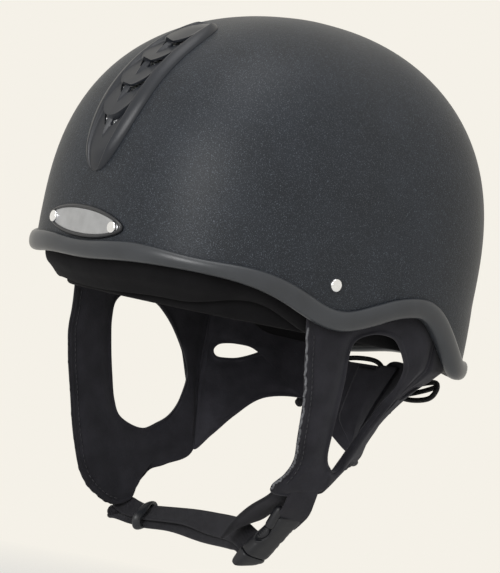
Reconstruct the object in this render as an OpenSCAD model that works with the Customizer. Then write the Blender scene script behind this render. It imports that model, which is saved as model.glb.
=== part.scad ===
// Peakless riding skull cap with a padded, laced harness and a buckled chin strap.
// Millimetres. +Z is up, the front is -Y, the wearer's left is +X.
// The origin is in the headband plane, at the middle of the head opening.

/* [Shell] */
// width of the shell over the ears
shell_w = 224; // [205:1:245]
// from the headband centre to the front of the shell
shell_front = 145; // [132:1:156]
// from the headband centre to the back of the shell
shell_rear = 121; // [110:1:132]
// height of the crown over the headband plane
crown_h = 146; // [134:1:158]
// thickness of the hard shell
shell_t = 3; // [2.6:0.1:3.4]

/* [Rim] */
// how far the rim dips in front of each ear
ear_dip = 17.5; // [12:0.5:21]
// how far the rim drops behind each ear
nape_drop = 33.5; // [28:0.5:38]
// how far the rim rises again over the nape
nape_arch = 8; // [4:1:12]
// how far the rubber edging stands out from the shell
trim_t = 4; // [3:0.5:5]

/* [Liner] */
// thickness of the foam liner
liner_t = 15; // [12:0.5:17]
// thickness of the padded headband
band_t = 7.5; // [5:0.5:9]

/* [Vent] */
// half width of the moulded vent cover
vent_half = 21; // [17:0.5:23]
// height of the vent cover over the shell
vent_rise = 4; // [3:0.5:5]

/* [Badge] */
// width of the badge plate
badge_w = 68; // [54:1:70]
// height of the badge plate
badge_h = 14.5; // [12:0.5:14.5]

/* [Harness] */
// depth of the harness below the headband plane
harness_len = 174; // [160:1:188]
// thickness of the padded cheek pieces at their crown
pad_t = 6; // [5:0.5:7]
// width of the chin webbing
web_w = 19; // [16:0.5:21]
// thickness of one layer of webbing
web_t = 1.8; // [1.4:0.2:2.2]
// diameter of the nape lace
lace_d = 3.2; // [2.6:0.2:3.6]

/* [Buckle] */
// how far the plug pulls out of the socket
plug_travel = 28; // [26:1:32]
// how far each squeeze tab springs in
tab_squeeze = 1.4; // [1:0.1:1.6]
// how far the keeper ring slides along the strap
keeper_travel = 24; // [12:1:26]

/* [Hidden] */
pn = 2.67;
low_h = 230;
kx = shell_w/224;
ky = (shell_front+shell_rear)/266;
kz = harness_len/174;
nu = 60;
rivet_z = -10.7;
rivet_t = -15;
eye_r = 2.5;
harness_a = shell_w/2-7.4;

// smooth step from 0 to 1
function ss(v) = let(c=min(1,max(0,v))) c*c*(3-2*c);
function mix(a,b,t) = a+(b-a)*t;
function spw(v,e) = (v<0 ? -1 : 1)*pow(abs(v),e);
function dot3(a,b) = a[0]*b[0]+a[1]*b[1]+a[2]*b[2];
function unit(v) = v/norm(v);
function at(x,y,z) = [x*kx, y*ky, z*kz];

// Catmull-Rom curves through hand placed points
function cr(a,b,c,d,t) = 0.5*(2*b+(c-a)*t+(2*a-5*b+4*c-d)*t*t+(3*b-3*c+d-a)*t*t*t);
function loop_pt(L,u) = let(n=len(L), s=u*n, i=floor(s)) cr(L[(i-1+n)%n],L[i%n],L[(i+1)%n],L[(i+2)%n],s-i);
function path_pt(L,u) = let(n=len(L)-1, s=min(u*n,n-0.00001), i=floor(s)) cr(i>0 ? L[i-1] : 2*L[0]-L[1],L[i],L[i+1],i+2>n ? 2*L[n]-L[n-1] : L[i+2],s-i);

// angle from the front of the head, 0 to 180, for an azimuth where 0 is the wearer's left
function psi(phi) = abs(((phi+270)%360)-180);

// height of the rubber edging's lower line round the head
function bump(x,w) = exp(-pow(x/w,2));
function rim_front(phi) = -18.8-5*bump(psi(phi),22)-6*bump(phi-236,18);
function rim_ear(p) = -ear_dip*bump(p-77.5,15.5);
function rim_nape(p) = -nape_drop*ss((p-103)/29)+nape_arch*ss((p-148)/32);
function rim_z(phi) = rim_front(phi)+rim_ear(psi(phi))+rim_nape(psi(phi));
function rim_k(phi) = sqrt(1+pow((rim_z(phi+1)-rim_z(phi-1))/4.2,2));

// the crown surface, d below the outside of the shell
function dome(phi,th,d) = let(c=pow(cos(th),0.98), r=pow(pow(abs(cos(phi)),pn)+pow(abs(sin(phi)),pn),-1/pn), b=(sin(phi)<0 ? shell_front : shell_rear)-d) [(shell_w/2-d)*c*cos(phi)*r, b*c*sin(phi)*r, th>=0 ? (crown_h-d)*pow(sin(th),0.77) : low_h*sin(th)];
function th_at(z,d) = z<0 ? -asin(-z/low_h) : asin(pow(z/(crown_h-d),1/0.77));
function dome_z(phi,z,d) = dome(phi,th_at(z,d),d);
// the front of the shell at a given x
function front_pt(x,z,d) = let(c=pow(cos(th_at(z,d)),0.98)) [x, -(shell_front-d)*c*pow(1-pow(abs(x)/((shell_w/2-d)*c),pn),1/pn), z];

// signed volume, and a solid whose faces always look outwards
function vol(P,F) = [for(f=F) dot3(P[f[0]],cross(P[f[1]],P[f[2]]))]*[for(f=F) 1];
module solid(P,F) {
  polyhedron(points=P, faces=vol(P,F)>0 ? [for(f=F) [f[2],f[1],f[0]]] : F, convexity=8);
}

// a skin of rings: every ring is a closed section; the run is closed or has end caps
module loft(R,closed=false) {
  n = len(R);
  m = len(R[0]);
  P = [for(r=R) for(p=r) p];
  K = closed ? n : n-1;
  F = [for(i=[0:K-1]) for(j=[0:m-1]) for(h=[0,1]) let(a=i*m+j, b=i*m+(j+1)%m, c=((i+1)%n)*m+(j+1)%m, d=((i+1)%n)*m+j) h==0 ? [a,b,c] : [a,c,d]];
  C = closed ? [] : [for(j=[1:m-2]) for(e=[0,1]) e==0 ? [0,j+1,j] : [(n-1)*m,(n-1)*m+j,(n-1)*m+j+1]];
  solid(P,concat(F,C));
}

// a crown shaped layer from d0 to d1, from the low line of its kind up to the apex
function low_line(kind,phi) = kind==0 ? rim_z(phi)+3 : kind==1 ? rim_z(phi)+15+4*(rim_k(phi)-1) : 44+0.35*(rim_z(phi)+20);
function skin_d(kind,phi,d) = kind==1 ? d+3.2*ss((psi(phi)-60)/6)*(1-ss((psi(phi)-82)/6)) : d;
function cut(i,j,n,w) = w>0 && (i==floor(n*0.75)-1 || i==floor(n*0.75)) && j>=w && j<w+3;
module crown(kind,d0,d1,n,nv,w) {
  A = [for(v=[0:nv-1]) for(i=[0:n-1]) let(phi=360*i/n, t0=th_at(low_line(kind,phi),d0)) dome(phi,mix(t0,90,v/nv),skin_d(kind,phi,d0))];
  B = [for(v=[0:nv-1]) for(i=[0:n-1]) let(phi=360*i/n, t0=th_at(low_line(kind,phi),d1)) dome(phi,mix(t0,90,v/nv),d1)];
  q = n*nv;
  P = concat(A,[dome(0,90,d0)],B,[dome(0,90,d1)]);
  S = [for(v=[0:nv-2]) for(i=[0:n-1]) if(!cut(i,v,n,w)) for(h=[0:3]) let(a=v*n+i, b=v*n+(i+1)%n, c=(v+1)*n+(i+1)%n, d=(v+1)*n+i, k=q+1) h==0 ? [a,b,c] : h==1 ? [a,c,d] : h==2 ? [k+a,k+c,k+b] : [k+a,k+d,k+c]];
  T = [for(i=[0:n-1]) for(h=[0:3]) let(a=(nv-1)*n+i, b=(nv-1)*n+(i+1)%n, k=q+1) h==0 ? [a,b,q] : h==1 ? [k+a,k+q,k+b] : h==2 ? [(i+1)%n,i,k+i] : [(i+1)%n,k+i,k+(i+1)%n]];
  W = [for(v=[0:nv-2]) for(i=[0:n-1]) if(cut(i,v,n,w)) for(e=[0:3]) let(a=v*n+i, b=v*n+(i+1)%n, c=(v+1)*n+(i+1)%n, d=(v+1)*n+i, k=q+1, o=e==0 ? cut(i,v-1,n,w) : e==1 ? cut((i+1)%n,v,n,w) : e==2 ? cut(i,v+1,n,w) : cut((i-1+n)%n,v,n,w), s=e==0 ? a : e==1 ? b : e==2 ? c : d, f=e==0 ? b : e==1 ? c : e==2 ? d : a) if(!o) for(h=[0,1]) h==0 ? [s,f,k+f] : [s,k+f,k+s]];
  solid(P,concat(S,T,W));
}

module outer_shell() {
  color([0.16,0.17,0.19]) difference() {
    crown(0,0,shell_t,nu,11,4);
    for(s=[-1,1]) rivet_frame(s) cylinder(d=4.2,h=14,center=true,$fn=24);
    for(s=[-1,1]) badge_frame(s) cylinder(d=3.2,h=14,center=true,$fn=24);
  }
}

// place things on the side rivets and on the badge rivets, +Z outwards
module rivet_frame(s) {
  p = dome_z(rivet_t,rivet_z,0);
  translate([s*p[0],p[1],p[2]]) rotate([0,0,s>0 ? -3 : 183]) rotate([0,90,0]) children();
}
module badge_frame(s) {
  p = front_pt(s*badge_w*0.44,badge_z-0.4,0);
  translate(p) rotate([0,0,s*5.5]) rotate([90,0,0]) children();
}

// sections of the round edge parts: distance inwards and height over the rim line
TRIM = [[-1.1,12],[-3.1*trim_t/4,10.6],[-trim_t,7.2],[-trim_t*0.95,3.2],[-trim_t*0.6,0.6],[0.4,-0.5],[3.4,0],[5,1.8],[5.2,5],[4.9,9],[3.4,9.3],[3.3,2.9],[-0.15,2.9],[-0.15,12]];
// the rubber's height: lower at the left temple
function trim_k(phi) = rim_k(phi)*(0.98-0.3*bump(phi-312,14)-0.13*bump(psi(phi),16));
module rim_trim() {
  color([0.12,0.125,0.14]) loft([for(i=[0:nu-1]) let(phi=6*i, z=rim_z(phi), k=trim_k(phi)) [for(s=TRIM) dome_z(phi,z+(s[1]==2.9 ? 2.8 : s[1]*k),s[0])]],true);
}

module impact_liner() {
  color([0.09,0.09,0.095]) crown(1,3.65,3.65+liner_t,nu,10,3);
}

function roll_in(phi) = let(p=psi(phi)) 5.5+4.7*ss((p-40)/12)*(1-ss((p-156)/12));
module edge_roll() {
  o = 3.65+liner_t;
  color([0.1,0.1,0.105]) loft([for(i=[0:nu-1]) let(phi=6*i, z=rim_z(phi), a=roll_in(phi), k=4*(rim_k(phi)-1), f=ss((62-psi(phi))/26), g=9*ss((psi(phi)-108)/16)) [dome_z(phi,z+14.4+k,a),dome_z(phi,z-2+g,a),dome_z(phi,z-6-5*f+g,a+2),dome_z(phi,z-7-9*f+g,(a+o)/2),dome_z(phi,z-6-13*f+g,o-2),dome_z(phi,z-2-10*f+g,o),dome_z(phi,z+14.4+k,o)]],true);
}

function band_low(phi) = -42-5*ss((psi(phi)-110)/40);
module headband() {
  a = 4.3+liner_t;
  b = a+band_t;
  color([0.1,0.1,0.11]) loft([for(i=[0:nu-1]) let(phi=6*i, z=band_low(phi), t=32+0.3*(rim_z(phi)+20)) [dome_z(phi,t,a),dome_z(phi,t+4,a+band_t*0.4),dome_z(phi,t-2,b-1),dome_z(phi,mix(z,t,0.6),b),dome_z(phi,mix(z,t,0.2),b),dome_z(phi,z+4,b-1.2),dome_z(phi,z,a+band_t*0.45),dome_z(phi,z+3,a)]],true);
}

module crown_lining() {
  color([0.07,0.07,0.075]) crown(2,4.4+liner_t,7.4+liner_t,nu,8,2);
}

// the moulded vent cover: a leaf shaped patch on the centre line with chevron rows
vent_s = 25;
vent_u = 6;
function vent_w(v) = vent_half*pow(max(0.0001,sin(180*pow(v,0.72))),0.62);
function vent_th(v) = mix(4.2,56.5,v);
function vent_row(v,u) = v+0.11*pow(abs(u),1.5)*sin(180*v);
function vent_pt(v,u,d) = let(q=min(0.999,max(0.001,vent_row(v,u))), x=u*vent_w(q), th=vent_th(q), c=pow(cos(th),0.98), y=-(shell_front-d)*c*pow(1-pow(abs(x)/((shell_w/2-d)*c),pn),1/pn)) [x,y,(crown_h-d)*pow(sin(th),0.77)];
function vent_lip(i) = i<3 ? 0 : ((i-3)%5);
function vent_top(i,u) = -vent_rise*(1-pow(abs(u),3.2))*min(1,(i+0.6)/3)*min(1,(vent_s-i+0.6)/3)*(abs(u)<0.05 ? 1.12 : (vent_lip(i)==0 ? 1.05 : vent_lip(i)==1 ? 0.72 : 0.84))-0.2;
function vent_slot(i,j) = i>=4 && i<20 && (i-4)%5==0 && abs(j+0.5-vent_u)>0.9 && abs(j+0.5-vent_u)<3.2 && abs(j+0.5-vent_u)>0.4;
module front_vent() {
  m = 2*vent_u+1;
  A = [for(i=[0:vent_s]) for(j=[0:m-1]) let(u=(j-vent_u)/vent_u) vent_pt(i/vent_s,u,vent_top(i,u))];
  B = [for(i=[0:vent_s]) for(j=[0:m-1]) let(u=(j-vent_u)/vent_u) vent_pt(i/vent_s,u,-0.05)];
  k = len(A);
  S = [for(i=[0:vent_s-1]) for(j=[0:m-2]) if(!vent_slot(i,j)) for(h=[0:3]) let(a=i*m+j, b=a+1, c=a+m+1, d=a+m) h==0 ? [a,b,c] : h==1 ? [a,c,d] : h==2 ? [k+a,k+c,k+b] : [k+a,k+d,k+c]];
  W = [for(i=[0:vent_s-1]) for(j=[0:m-2]) for(e=[0:3]) let(me=vent_slot(i,j), a=i*m+j, b=a+1, c=a+m+1, d=a+m, o=e==0 ? (i==0 ? true : vent_slot(i-1,j)) : e==1 ? (j==m-2 ? true : vent_slot(i,j+1)) : e==2 ? (i==vent_s-1 ? true : vent_slot(i+1,j)) : (j==0 ? true : vent_slot(i,j-1)), s=e==0 ? a : e==1 ? b : e==2 ? c : d, f=e==0 ? b : e==1 ? c : e==2 ? d : a) if(!me && o) for(h=[0,1]) h==0 ? [s,k+f,f] : [s,k+s,k+f]];
  color([0.05,0.05,0.055]) solid(concat(A,B),concat(S,W));
}

module vent_mesh() {
  t0 = th_at(low_line(0,270),0);
  color([0.62,0.63,0.66]) loft([for(i=[0:10]) let(th=mix(t0,90,mix(4.08,6.92,i/10)/11)) [for(q=[[-1,0.7],[0,0.7],[1,0.7],[1,1.2],[0,1.2],[-1,1.2]]) dome(270+q[0]*5.7,th,q[1])]]);
}

// the badge: a dark bezel round a bare plate, both bent to the shell
function oval(a,w,h) = let(x=spw(cos(a),0.75)) [w/2*x, h/2*spw(sin(a),0.82)*(1-0.34*x*x)];
badge_z = -3.2;
bezel_w = 1.2;
function badge_pt(q,d) = front_pt(q[0],q[1]+badge_z,d);
function bezel_section(a) =
  let(q=oval(a,badge_w,badge_h), n=unit([q[0]/(badge_w*badge_w),q[1]/(badge_h*badge_h)]),
      i=q+n*0.25, m=q+n*(0.25+bezel_w), o=q+n*(0.25+2*bezel_w))
  [badge_pt(i,-0.05),badge_pt(i,-1.9),badge_pt(m,-2.5),badge_pt(o,-1.4),badge_pt(o,-0.05)];
module badge_bezel() {
  color([0.08,0.08,0.09]) loft([for(i=[0:35]) bezel_section(10*i)],true);
}
module badge_plate() {
  A = [for(r=[0.5,1]) for(i=[0:35]) badge_pt(r*oval(10*i,badge_w,badge_h),-1.7+0.25*floor(r))];
  B = [for(r=[0.5,1]) for(i=[0:35]) badge_pt(r*oval(10*i,badge_w,badge_h),-0.1)];
  P = concat([badge_pt([0,0],-1.7)],A,[badge_pt([0,0],-0.1)],B);
  F = [for(i=[0:35]) for(h=[0:7]) let(j=(i+1)%36) h==0 ? [0,1+i,1+j] : h==1 ? [1+i,37+i,37+j] : h==2 ? [1+i,37+j,1+j] : h==3 ? [73,74+j,74+i] : h==4 ? [74+i,110+j,110+i] : h==5 ? [74+i,74+j,110+j] : h==6 ? [37+i,110+i,110+j] : [37+i,110+j,37+j]];
  color([0.72,0.73,0.75]) difference() {
    solid(P,F);
    for(s=[-1,1]) badge_frame(s) cylinder(d=3.2,h=14,center=true,$fn=24);
  }
}
// a domed rivet: head, shank and a washer inside
module rivet(hd,hh,sd,top,deep) {
  rotate_extrude($fn=32) polygon([[0,-deep-0.4],[sd/2+1.2,-deep-0.4],[sd/2+1.2,-deep],[sd/2,-deep],[sd/2,top],[hd/2,top],[hd/2,top+hh*0.3],[hd*0.43,top+hh*0.62],[hd*0.28,top+hh*0.9],[0,top+hh]]);
}
module badge_rivets() {
  color([0.8,0.8,0.82]) for(s=[-1,1]) badge_frame(s) rotate_extrude($fn=32) polygon([[0,-2.6],[1.5,-2.6],[1.5,1.95],[2.3,1.95],[2.3,2.75],[3.5,2.75],[3.5,3.2],[3,3.7],[2,4.1],[0,4.25]]);
}
module side_rivet(s) {
  color([0.85,0.85,0.87]) rivet_frame(s) rivet(8,2.4,4,0.15,5.75);
}
module left_rivet() {
  side_rivet(1);
}
module right_rivet() {
  side_rivet(-1);
}

// webbing from each side rivet down behind the edging
module anchor(s) {
  color([0.08,0.08,0.085]) difference() {
    loft([for(i=[0:6]) let(f=i/6) [for(q=[[-6,0],[0,0],[6,0],[6,1],[0,1],[-6,1]]) let(phi=rivet_t+q[0]*0.8, z=mix(rim_z(phi)+11,-2,f), p=dome_z(phi,z,3.5+1.7*q[1])) [s*p[0],p[1],p[2]]]]);
    rivet_frame(s) cylinder(d=4.2,h=14,center=true,$fn=24);
  }
}
module left_anchor() {
  anchor(1);
}
module right_anchor() {
  anchor(-1);
}

// the harness surface: the shell's inside at the top, drawn in towards the jaw and the nape
function hm(z) = ss((-40-z/kz)/75);
function top_k(z) = pow(1-pow(min(0,max(z,-110))/low_h,2),0.49);
function jaw_a(z) = mix(harness_a*top_k(-40),101.8*kx,ss((-40-z/kz)/20))-26*kx*pow((-40-z/kz)/135,2);
function ha(z) = z>-40 ? harness_a*top_k(z) : jaw_a(z);
function hb(z) = mix((shell_rear-7.4)*top_k(z),100*ky,hm(z));
// how square the section is: the left side is drawn in more than the right one
function square_l(z) = z>-50 ? pn : 1.05+(pn-1.05)*exp((z+50)/(22*kz));
function square(s,t,z) = t<=0 ? mix(pn,4,hm(z)) : s>0 ? square_l(z) : mix(pn,1.5,hm(z));
function hpt(s,t,z) =
  let(n=square(s,t,z), b=t>0 ? hb(z) : shell_front-7.4, r=pow(pow(abs(cos(t)),n)+pow(abs(sin(t)),n),-1/n))
  [s*ha(z)*cos(t)*r,b*sin(t)*r,z];
function hn(s,t,z) = let(g=hpt(s,t+1,z)-hpt(s,t-1,z)) s*unit([g[1],-g[0],0]);
function hs(s,t,z,off) = hpt(s,t,z)+off*hn(s,t,z);
function zk(q) = [q[0],q[1]*kz];
// tuck line: how high the fabric goes up behind the edging
function tuck(t) = [t,rim_z(t)+12];

// outlines of the harness pieces as [angle, height], seen along the surface
seam_l = 30;
seam_r = 20;
nape_end = 89.3;
L_IN = concat(
  [[-3.9,-43]],
  [for(q=[[-3.5,-64],[-3.2,-80],[-2.7,-97],[-1.8,-111],[0.5,-118],[5,-119.5],[10.5,-116]]) zk(q)],
  [for(q=[[15.5,-109],[19.8,-100.5],[23.5,-89],[25.4,-75],[22,-60.5],[17,-46]]) zk(q)],
  [[11,-35.5],[2,-35]]);
L_OUT = concat(
  [tuck(-19)],
  [for(q=[[-17,-54],[-14.6,-78],[-12.8,-102],[-11.8,-118],[-11,-132],[-5,-140],[4,-131]]) zk(q)],
  [for(q=[[13,-125],[22,-120.5],[seam_l-0.2,-117.5],[seam_l,-94]]) zk(q)],
  [[seam_l,-60],tuck(seam_l),tuck(8),tuck(-7)]);
R_IN = concat(
  [[-14.5,-47]],
  [for(q=[[-15.3,-58],[-14.1,-75],[-12.5,-94],[-11,-110],[-8.5,-120],[-1.5,-125],[5,-119.5]]) zk(q)],
  [for(q=[[9.5,-113],[13.3,-102],[15.4,-86],[12.8,-73],[8.5,-62]]) zk(q)],
  [[2.5,-52],[-3.5,-44.5],[-9.5,-41]]);
R_OUT = concat(
  [tuck(-30)],
  [for(q=[[-29,-62],[-27,-84],[-24.7,-108],[-22.6,-138],[-19.5,-162],[-12,-174]]) zk(q)],
  [for(q=[[-5,-170.5],[-1,-158],[8,-146],[seam_r-0.3,-134],[seam_r,-102]]) zk(q)],
  [[seam_r,-70],tuck(seam_r),tuck(3),tuck(-14)]);
// the slits behind the ears, each measured from its seam
SLIT = [[4,-67.5],[5.5,-71],[9,-71],[13,-69.5],[17.5,-65.5],[19.4,-62.5],[17,-61.3],[13,-61],[9,-61.5],[5.5,-63.5]];
L_SLIT = [for(q=SLIT) zk(q+[seam_l,0])];
R_SLIT = [for(q=SLIT) zk(q+[seam_r,0])];
L_NAPE = concat(
  [for(q=[[30.4,-82],[30.3,-100],[30.5,-117.3],[45,-118],[60,-119],[75,-119],[nape_end,-118]]) zk(q)],
  [[nape_end,-57],[76,-50],[60,-43],tuck(44),tuck(30.5)]);
R_NAPE = concat(
  [for(q=[[20.4,-80],[20.3,-108],[20.6,-131.5],[27,-121],[36,-106],[47,-91],[62,-87]]) zk(q)],
  [for(q=[[76,-94],[82,-108],[nape_end,-118]]) zk(q)],
  [[nape_end,-57],[76,-50],[60,-43],tuck(40),tuck(20.6)]);

// a padded piece with one opening: bands from the opening to the outline, crowned
function crown_t(w,t) = max(0.35,pow(sin(180*(0.06+0.88*w)),0.6))*t/2;
function held(q,lo,hi) = let(t=min(hi,max(lo,q[0]))) [t,min(q[1],rim_z(t)+12)];
function face(s,a,b,m,t,side) =
  [for(j=[0:m]) let(w=j/m, q=mix(a,b,w)) hs(s,q[0],q[1],side*crown_t(w,t)*thin(q))];
function reversed(L) = [for(i=[len(L)-1:-1:0]) L[i]];
module padded(s,I,O,n,m,t,lo,hi) {
  loft([for(k=[0:n-1]) let(u=k/n, a=loop_pt(I,u), b=held(loop_pt(O,u),lo,hi))
    concat(face(s,a,b,m,t,1),reversed(face(s,a,b,m,t,-1)))],true);
}
// the pads thin out where they go up behind the edging
function thin(q) = mix(1,3.3/pad_t,ss((q[1]-rim_z(q[0])+8)/12));
module left_cheek() {
  color([0.13,0.125,0.135]) padded(1,L_IN,L_OUT,48,6,pad_t,-60,seam_l);
}
module right_cheek() {
  color([0.13,0.125,0.135]) padded(-1,R_IN,R_OUT,48,6,pad_t,-60,seam_r);
}
module left_wing() {
  color([0.13,0.125,0.135]) padded(1,L_SLIT,L_NAPE,36,6,pad_t*0.8,seam_l+0.4,nape_end);
}
module right_wing() {
  color([0.13,0.125,0.135]) padded(-1,R_SLIT,R_NAPE,36,6,pad_t*0.8,seam_r+0.4,nape_end);
}

// a round cord along a curve, and a flat band with rounded edges
function tube_ring(p,g,r,n) = let(g1=unit(g), s=unit(cross(g1,abs(g1[2])<0.9 ? [0,0,1] : [1,0,0])), v=cross(s,g1)) [for(j=[0:n-1]) p+r*(cos(360*j/n)*s+sin(360*j/n)*v)];
module cord(L,r,n,m) {
  loft([for(k=[0:n]) let(u=k/n) tube_ring(path_pt(L,u),path_pt(L,min(1,u+0.01))-path_pt(L,max(0,u-0.01)),r,m)]);
}
module cord_loop(P,r,m) {
  n = len(P);
  loft([for(k=[0:n-1]) tube_ring(P[k],P[(k+1)%n]-P[(k-1+n)%n],r,m)],true);
}
module band(L,V,w,t,n,shift=0,lift=0) {
  loft([for(k=[0:n]) let(u=k/n, p=path_pt(L,u), g=unit(path_pt(L,min(1,u+0.01))-path_pt(L,max(0,u-0.01))), v0=path_pt(V,u), v=unit(v0-dot3(v0,g)*g), o=cross(g,v)) [for(q=[[-0.5,-0.2],[-0.46,-0.5],[0.46,-0.5],[0.5,-0.2],[0.5,0.2],[0.46,0.5],[-0.46,0.5],[-0.5,0.2]]) p+v*(q[0]*w+shift)+o*(q[1]*t+lift)]]);
}

// stitched piping along a pad's edge: beside the pad's own edge points, away from the pad
pipe_r = 1.2;
function edge_pt(s,q) = hs(s,q[0],q[1],0);
function edge_dir(s,A,u) = edge_pt(s,loop_pt(A,u+1.004))-edge_pt(s,loop_pt(A,u+0.996));
function beside(s,A,u) = let(q=loop_pt(A,u)) unit(cross(edge_dir(s,A,u),hn(s,q[0],q[1])));
function side_of(s,A,B) =
  dot3(beside(s,A,0.08),edge_pt(s,loop_pt(B,0.08))-edge_pt(s,loop_pt(A,0.08)))>0 ? -1 : 1;
function pipe_ring(s,A,side,u) =
  tube_ring(edge_pt(s,loop_pt(A,u))+side*beside(s,A,u)*(pipe_r+0.25),edge_dir(s,A,u),pipe_r,6);
module piping(s,I,O,last) {
  color([0.3,0.3,0.31]) {
    loft([for(k=[2:last]) pipe_ring(s,O,side_of(s,O,I),k/48)]);
    loft([for(k=[0:47]) pipe_ring(s,I,side_of(s,I,O),k/48)],true);
  }
}
module left_piping() {
  piping(1,L_IN,L_OUT,15);
}
module right_piping() {
  piping(-1,R_IN,R_OUT,18);
}

// eyelets at the nape ends of the wings, and the lace through them
eye_t = 78;
function eye_z(k) = (k==0 ? -64 : -80)*kz;
function eye_dir(s,k) = let(t=eye_t, z=eye_z(k)) s*unit(cross(hpt(s,t+1,z)-hpt(s,t-1,z),hpt(s,t,z+1)-hpt(s,t,z-1)));
function eye(s,k,off) = hpt(s,eye_t,eye_z(k))+off*eye_dir(s,k);
module lace_eyelets() {
  color([0.16,0.16,0.17]) for(s=[-1,1]) for(k=[0,1]) {
    e = eye_dir(s,k);
    translate(eye(s,k,pad_t*0.4+0.55)) rotate([0,acos(e[2]),atan2(e[1],e[0])])
      rotate_extrude($fn=24) translate([eye_r+0.9,0]) circle(d=1.5,$fn=16);
  }
}
function back(x,y,z) = [x*kx, hpt(1,90,-72*kz)[1]+y, z*kz];
lace_off = pad_t*0.4+1.9+lace_d/2;
module nape_lace() {
  color([0.07,0.07,0.075]) {
    cord([eye(-1,0,lace_off),back(-7,5.4,-67),back(5,7,-75),eye(1,1,lace_off)],lace_d/2,14,8);
    cord([eye(1,0,lace_off),back(6,9.2,-67),back(-5,10.6,-75),eye(-1,1,lace_off)],lace_d/2,14,8);
  }
}
BOW_L = [back(2,15.2,-71),back(14,16.5,-70),back(32,17,-65),back(47,12,-66),back(50,8,-75),back(40,10,-81),
  back(20,15.5,-78),back(2,18.6,-73)];
BOW_R = [back(-2,15.2,-71),back(-14,17,-74),back(-30,15,-70),back(-40,11,-76),back(-36,11,-86),
  back(-22,15,-82),back(-2,18.6,-74)];
LACE_END = [back(0,18,-76),back(-10,15,-84),back(-28,5,-92),back(-46,-9,-94)];
module lace_bow() {
  color([0.07,0.07,0.075]) {
    cord(BOW_L,lace_d/2,30,8);
    cord(BOW_R,lace_d/2,30,8);
    translate(back(0,17.2,-72)) sphere(d=9,$fn=24);
    cord(LACE_END,lace_d/2,14,8);
    translate(LACE_END[3]+[-2,-2,-1]) sphere(d=6,$fn=20);
  }
}

// chin parts: guard flap, short strap, chin webbing in two layers, keeper ring
// the ends at the buckle are placed from the buckle's own centre
BO = at(62,-15,-168.5);
GUARD = [at(83.2,-14,-130),at(80.2,-16,-140),BO+[7.5,-5,20],BO+[-5.5,-7,9],BO+[-17,-9,1.5]];
GUARD_V = [[0,1,0],[0,1,0.1],[0,1,0.2],[0,1,0.3],[0,0.8,0.6]];
module chin_guard() {
  color([0.12,0.115,0.125]) band(GUARD,GUARD_V,24,3,14);
}
STRAP = [at(96.6,-12,-126),at(94.9,-12,-136),BO+[26.5,4,23],BO+[19.3,5.5,16.5]];
STRAP_V = [[0,1,0],[0,1,0],[0,1,-0.1],[-0.1,1,-0.25]];
module left_strap() {
  color([0.1,0.1,0.105]) band(STRAP,STRAP_V,web_w,web_t*1.4,12);
}
CHIN = [at(-76.9,-15,-157),at(-75.8,-15,-167),at(-71.5,-13,-172.8),at(-64,-12,-175.4),at(-50,-10,-175.7),
  at(-20,-9,-174.7),at(8,-11,-174.4),BO+[-29,-2,-7.5],BO+[-17,-6.5,-11.8]];
CHIN_V = [[0,1,0],[0,1,0.1],[0,0.8,0.35],[0,0.77,0.6],[0,0.77,0.62],[0,0.77,0.64],[0,0.77,0.6],
  [0.1,0.86,0.4],[0.19,0.95,0.2]];
module chin_strap() {
  color([0.1,0.1,0.105]) band(CHIN,CHIN_V,web_w,web_t*1.3,28,0,web_t*0.75);
}
TAIL = [at(-86,-17.5,-177.7),at(-77,-14.6,-177),at(-64,-12,-175.6),at(-50,-10,-175.7),at(-20,-9,-174.7),
  at(8,-11,-174.4),BO+[-29,-2,-7.5],BO+[-19,-6,-11]];
TAIL_V = [[0,0.77,0.5],[0,0.77,0.55],[0,0.77,0.6],[0,0.77,0.62],[0,0.77,0.64],[0,0.77,0.6],
  [0.1,0.86,0.4],[0.19,0.95,0.25]];
module strap_tail() {
  color([0.09,0.09,0.095]) band(TAIL,TAIL_V,web_w*0.92,web_t,28,-0.8,-web_t*0.85);
}
module strap_keeper() {
  a = web_w/2+3.1;
  b = web_t*1.35+2.8;
  color([0.1,0.1,0.11]) translate(at(-58,-11.1,-175.6)) rotate([38.5,0,0]) rotate([0,90,7]) difference() {
    loft([for(x=[-6,-5,5,6]) [for(i=[0:23]) [spw(sin(15*i),0.5)*(b-(abs(x)>5.5 ? 0.5 : 0)),spw(cos(15*i),0.5)*(a-(abs(x)>5.5 ? 0.5 : 0)),x]]]);
    cube([web_t*2.7+2,web_w+3,20],center=true);
  }
}

// the buckle frame: +X is the way the plug pulls out, +Y across, +Z to the outside
buckle_l = 30;
module bframe() {
  translate(BO) rotate([200,47,205]) children();
}
module buckle_socket() {
  color([0.06,0.06,0.065]) bframe() difference() {
    union() {
      translate([-14,-12.5,-4.5]) cube([22,25,9]);
      translate([-14,0,0]) scale_oval(12.5,4.5,3);
      translate([-21,-12.5,-3.5]) cube([7,3,7]);
      translate([-21,9.5,-3.5]) cube([7,3,7]);
      translate([-22,-12.5,0]) rotate([-90,0,0]) cylinder(d=4,h=25,$fn=24);
      translate([-26,-12.5,0]) rotate([-90,0,0]) cylinder(d=3.2,h=6,$fn=24);
      translate([-26,-12.5,-1.6]) cube([4,6,3.2]);
    }
    translate([-12,-8.2,-2.6]) cube([24,16.4,5.2]);
    for(s=[-1,1]) translate([-7,s*11-4,-2.8]) cube([11,8,5.6]);
    translate([-20,-9.5,-1.9]) cube([4,19,3.8]);
  }
}
module scale_oval(w,h,l) {
  rotate([0,90,0]) translate([0,0,-l]) linear_extrude(height=l) polygon([for(i=[0:23]) [h*spw(sin(15*i),0.6),w*spw(cos(15*i),0.6)]]);
}
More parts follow.
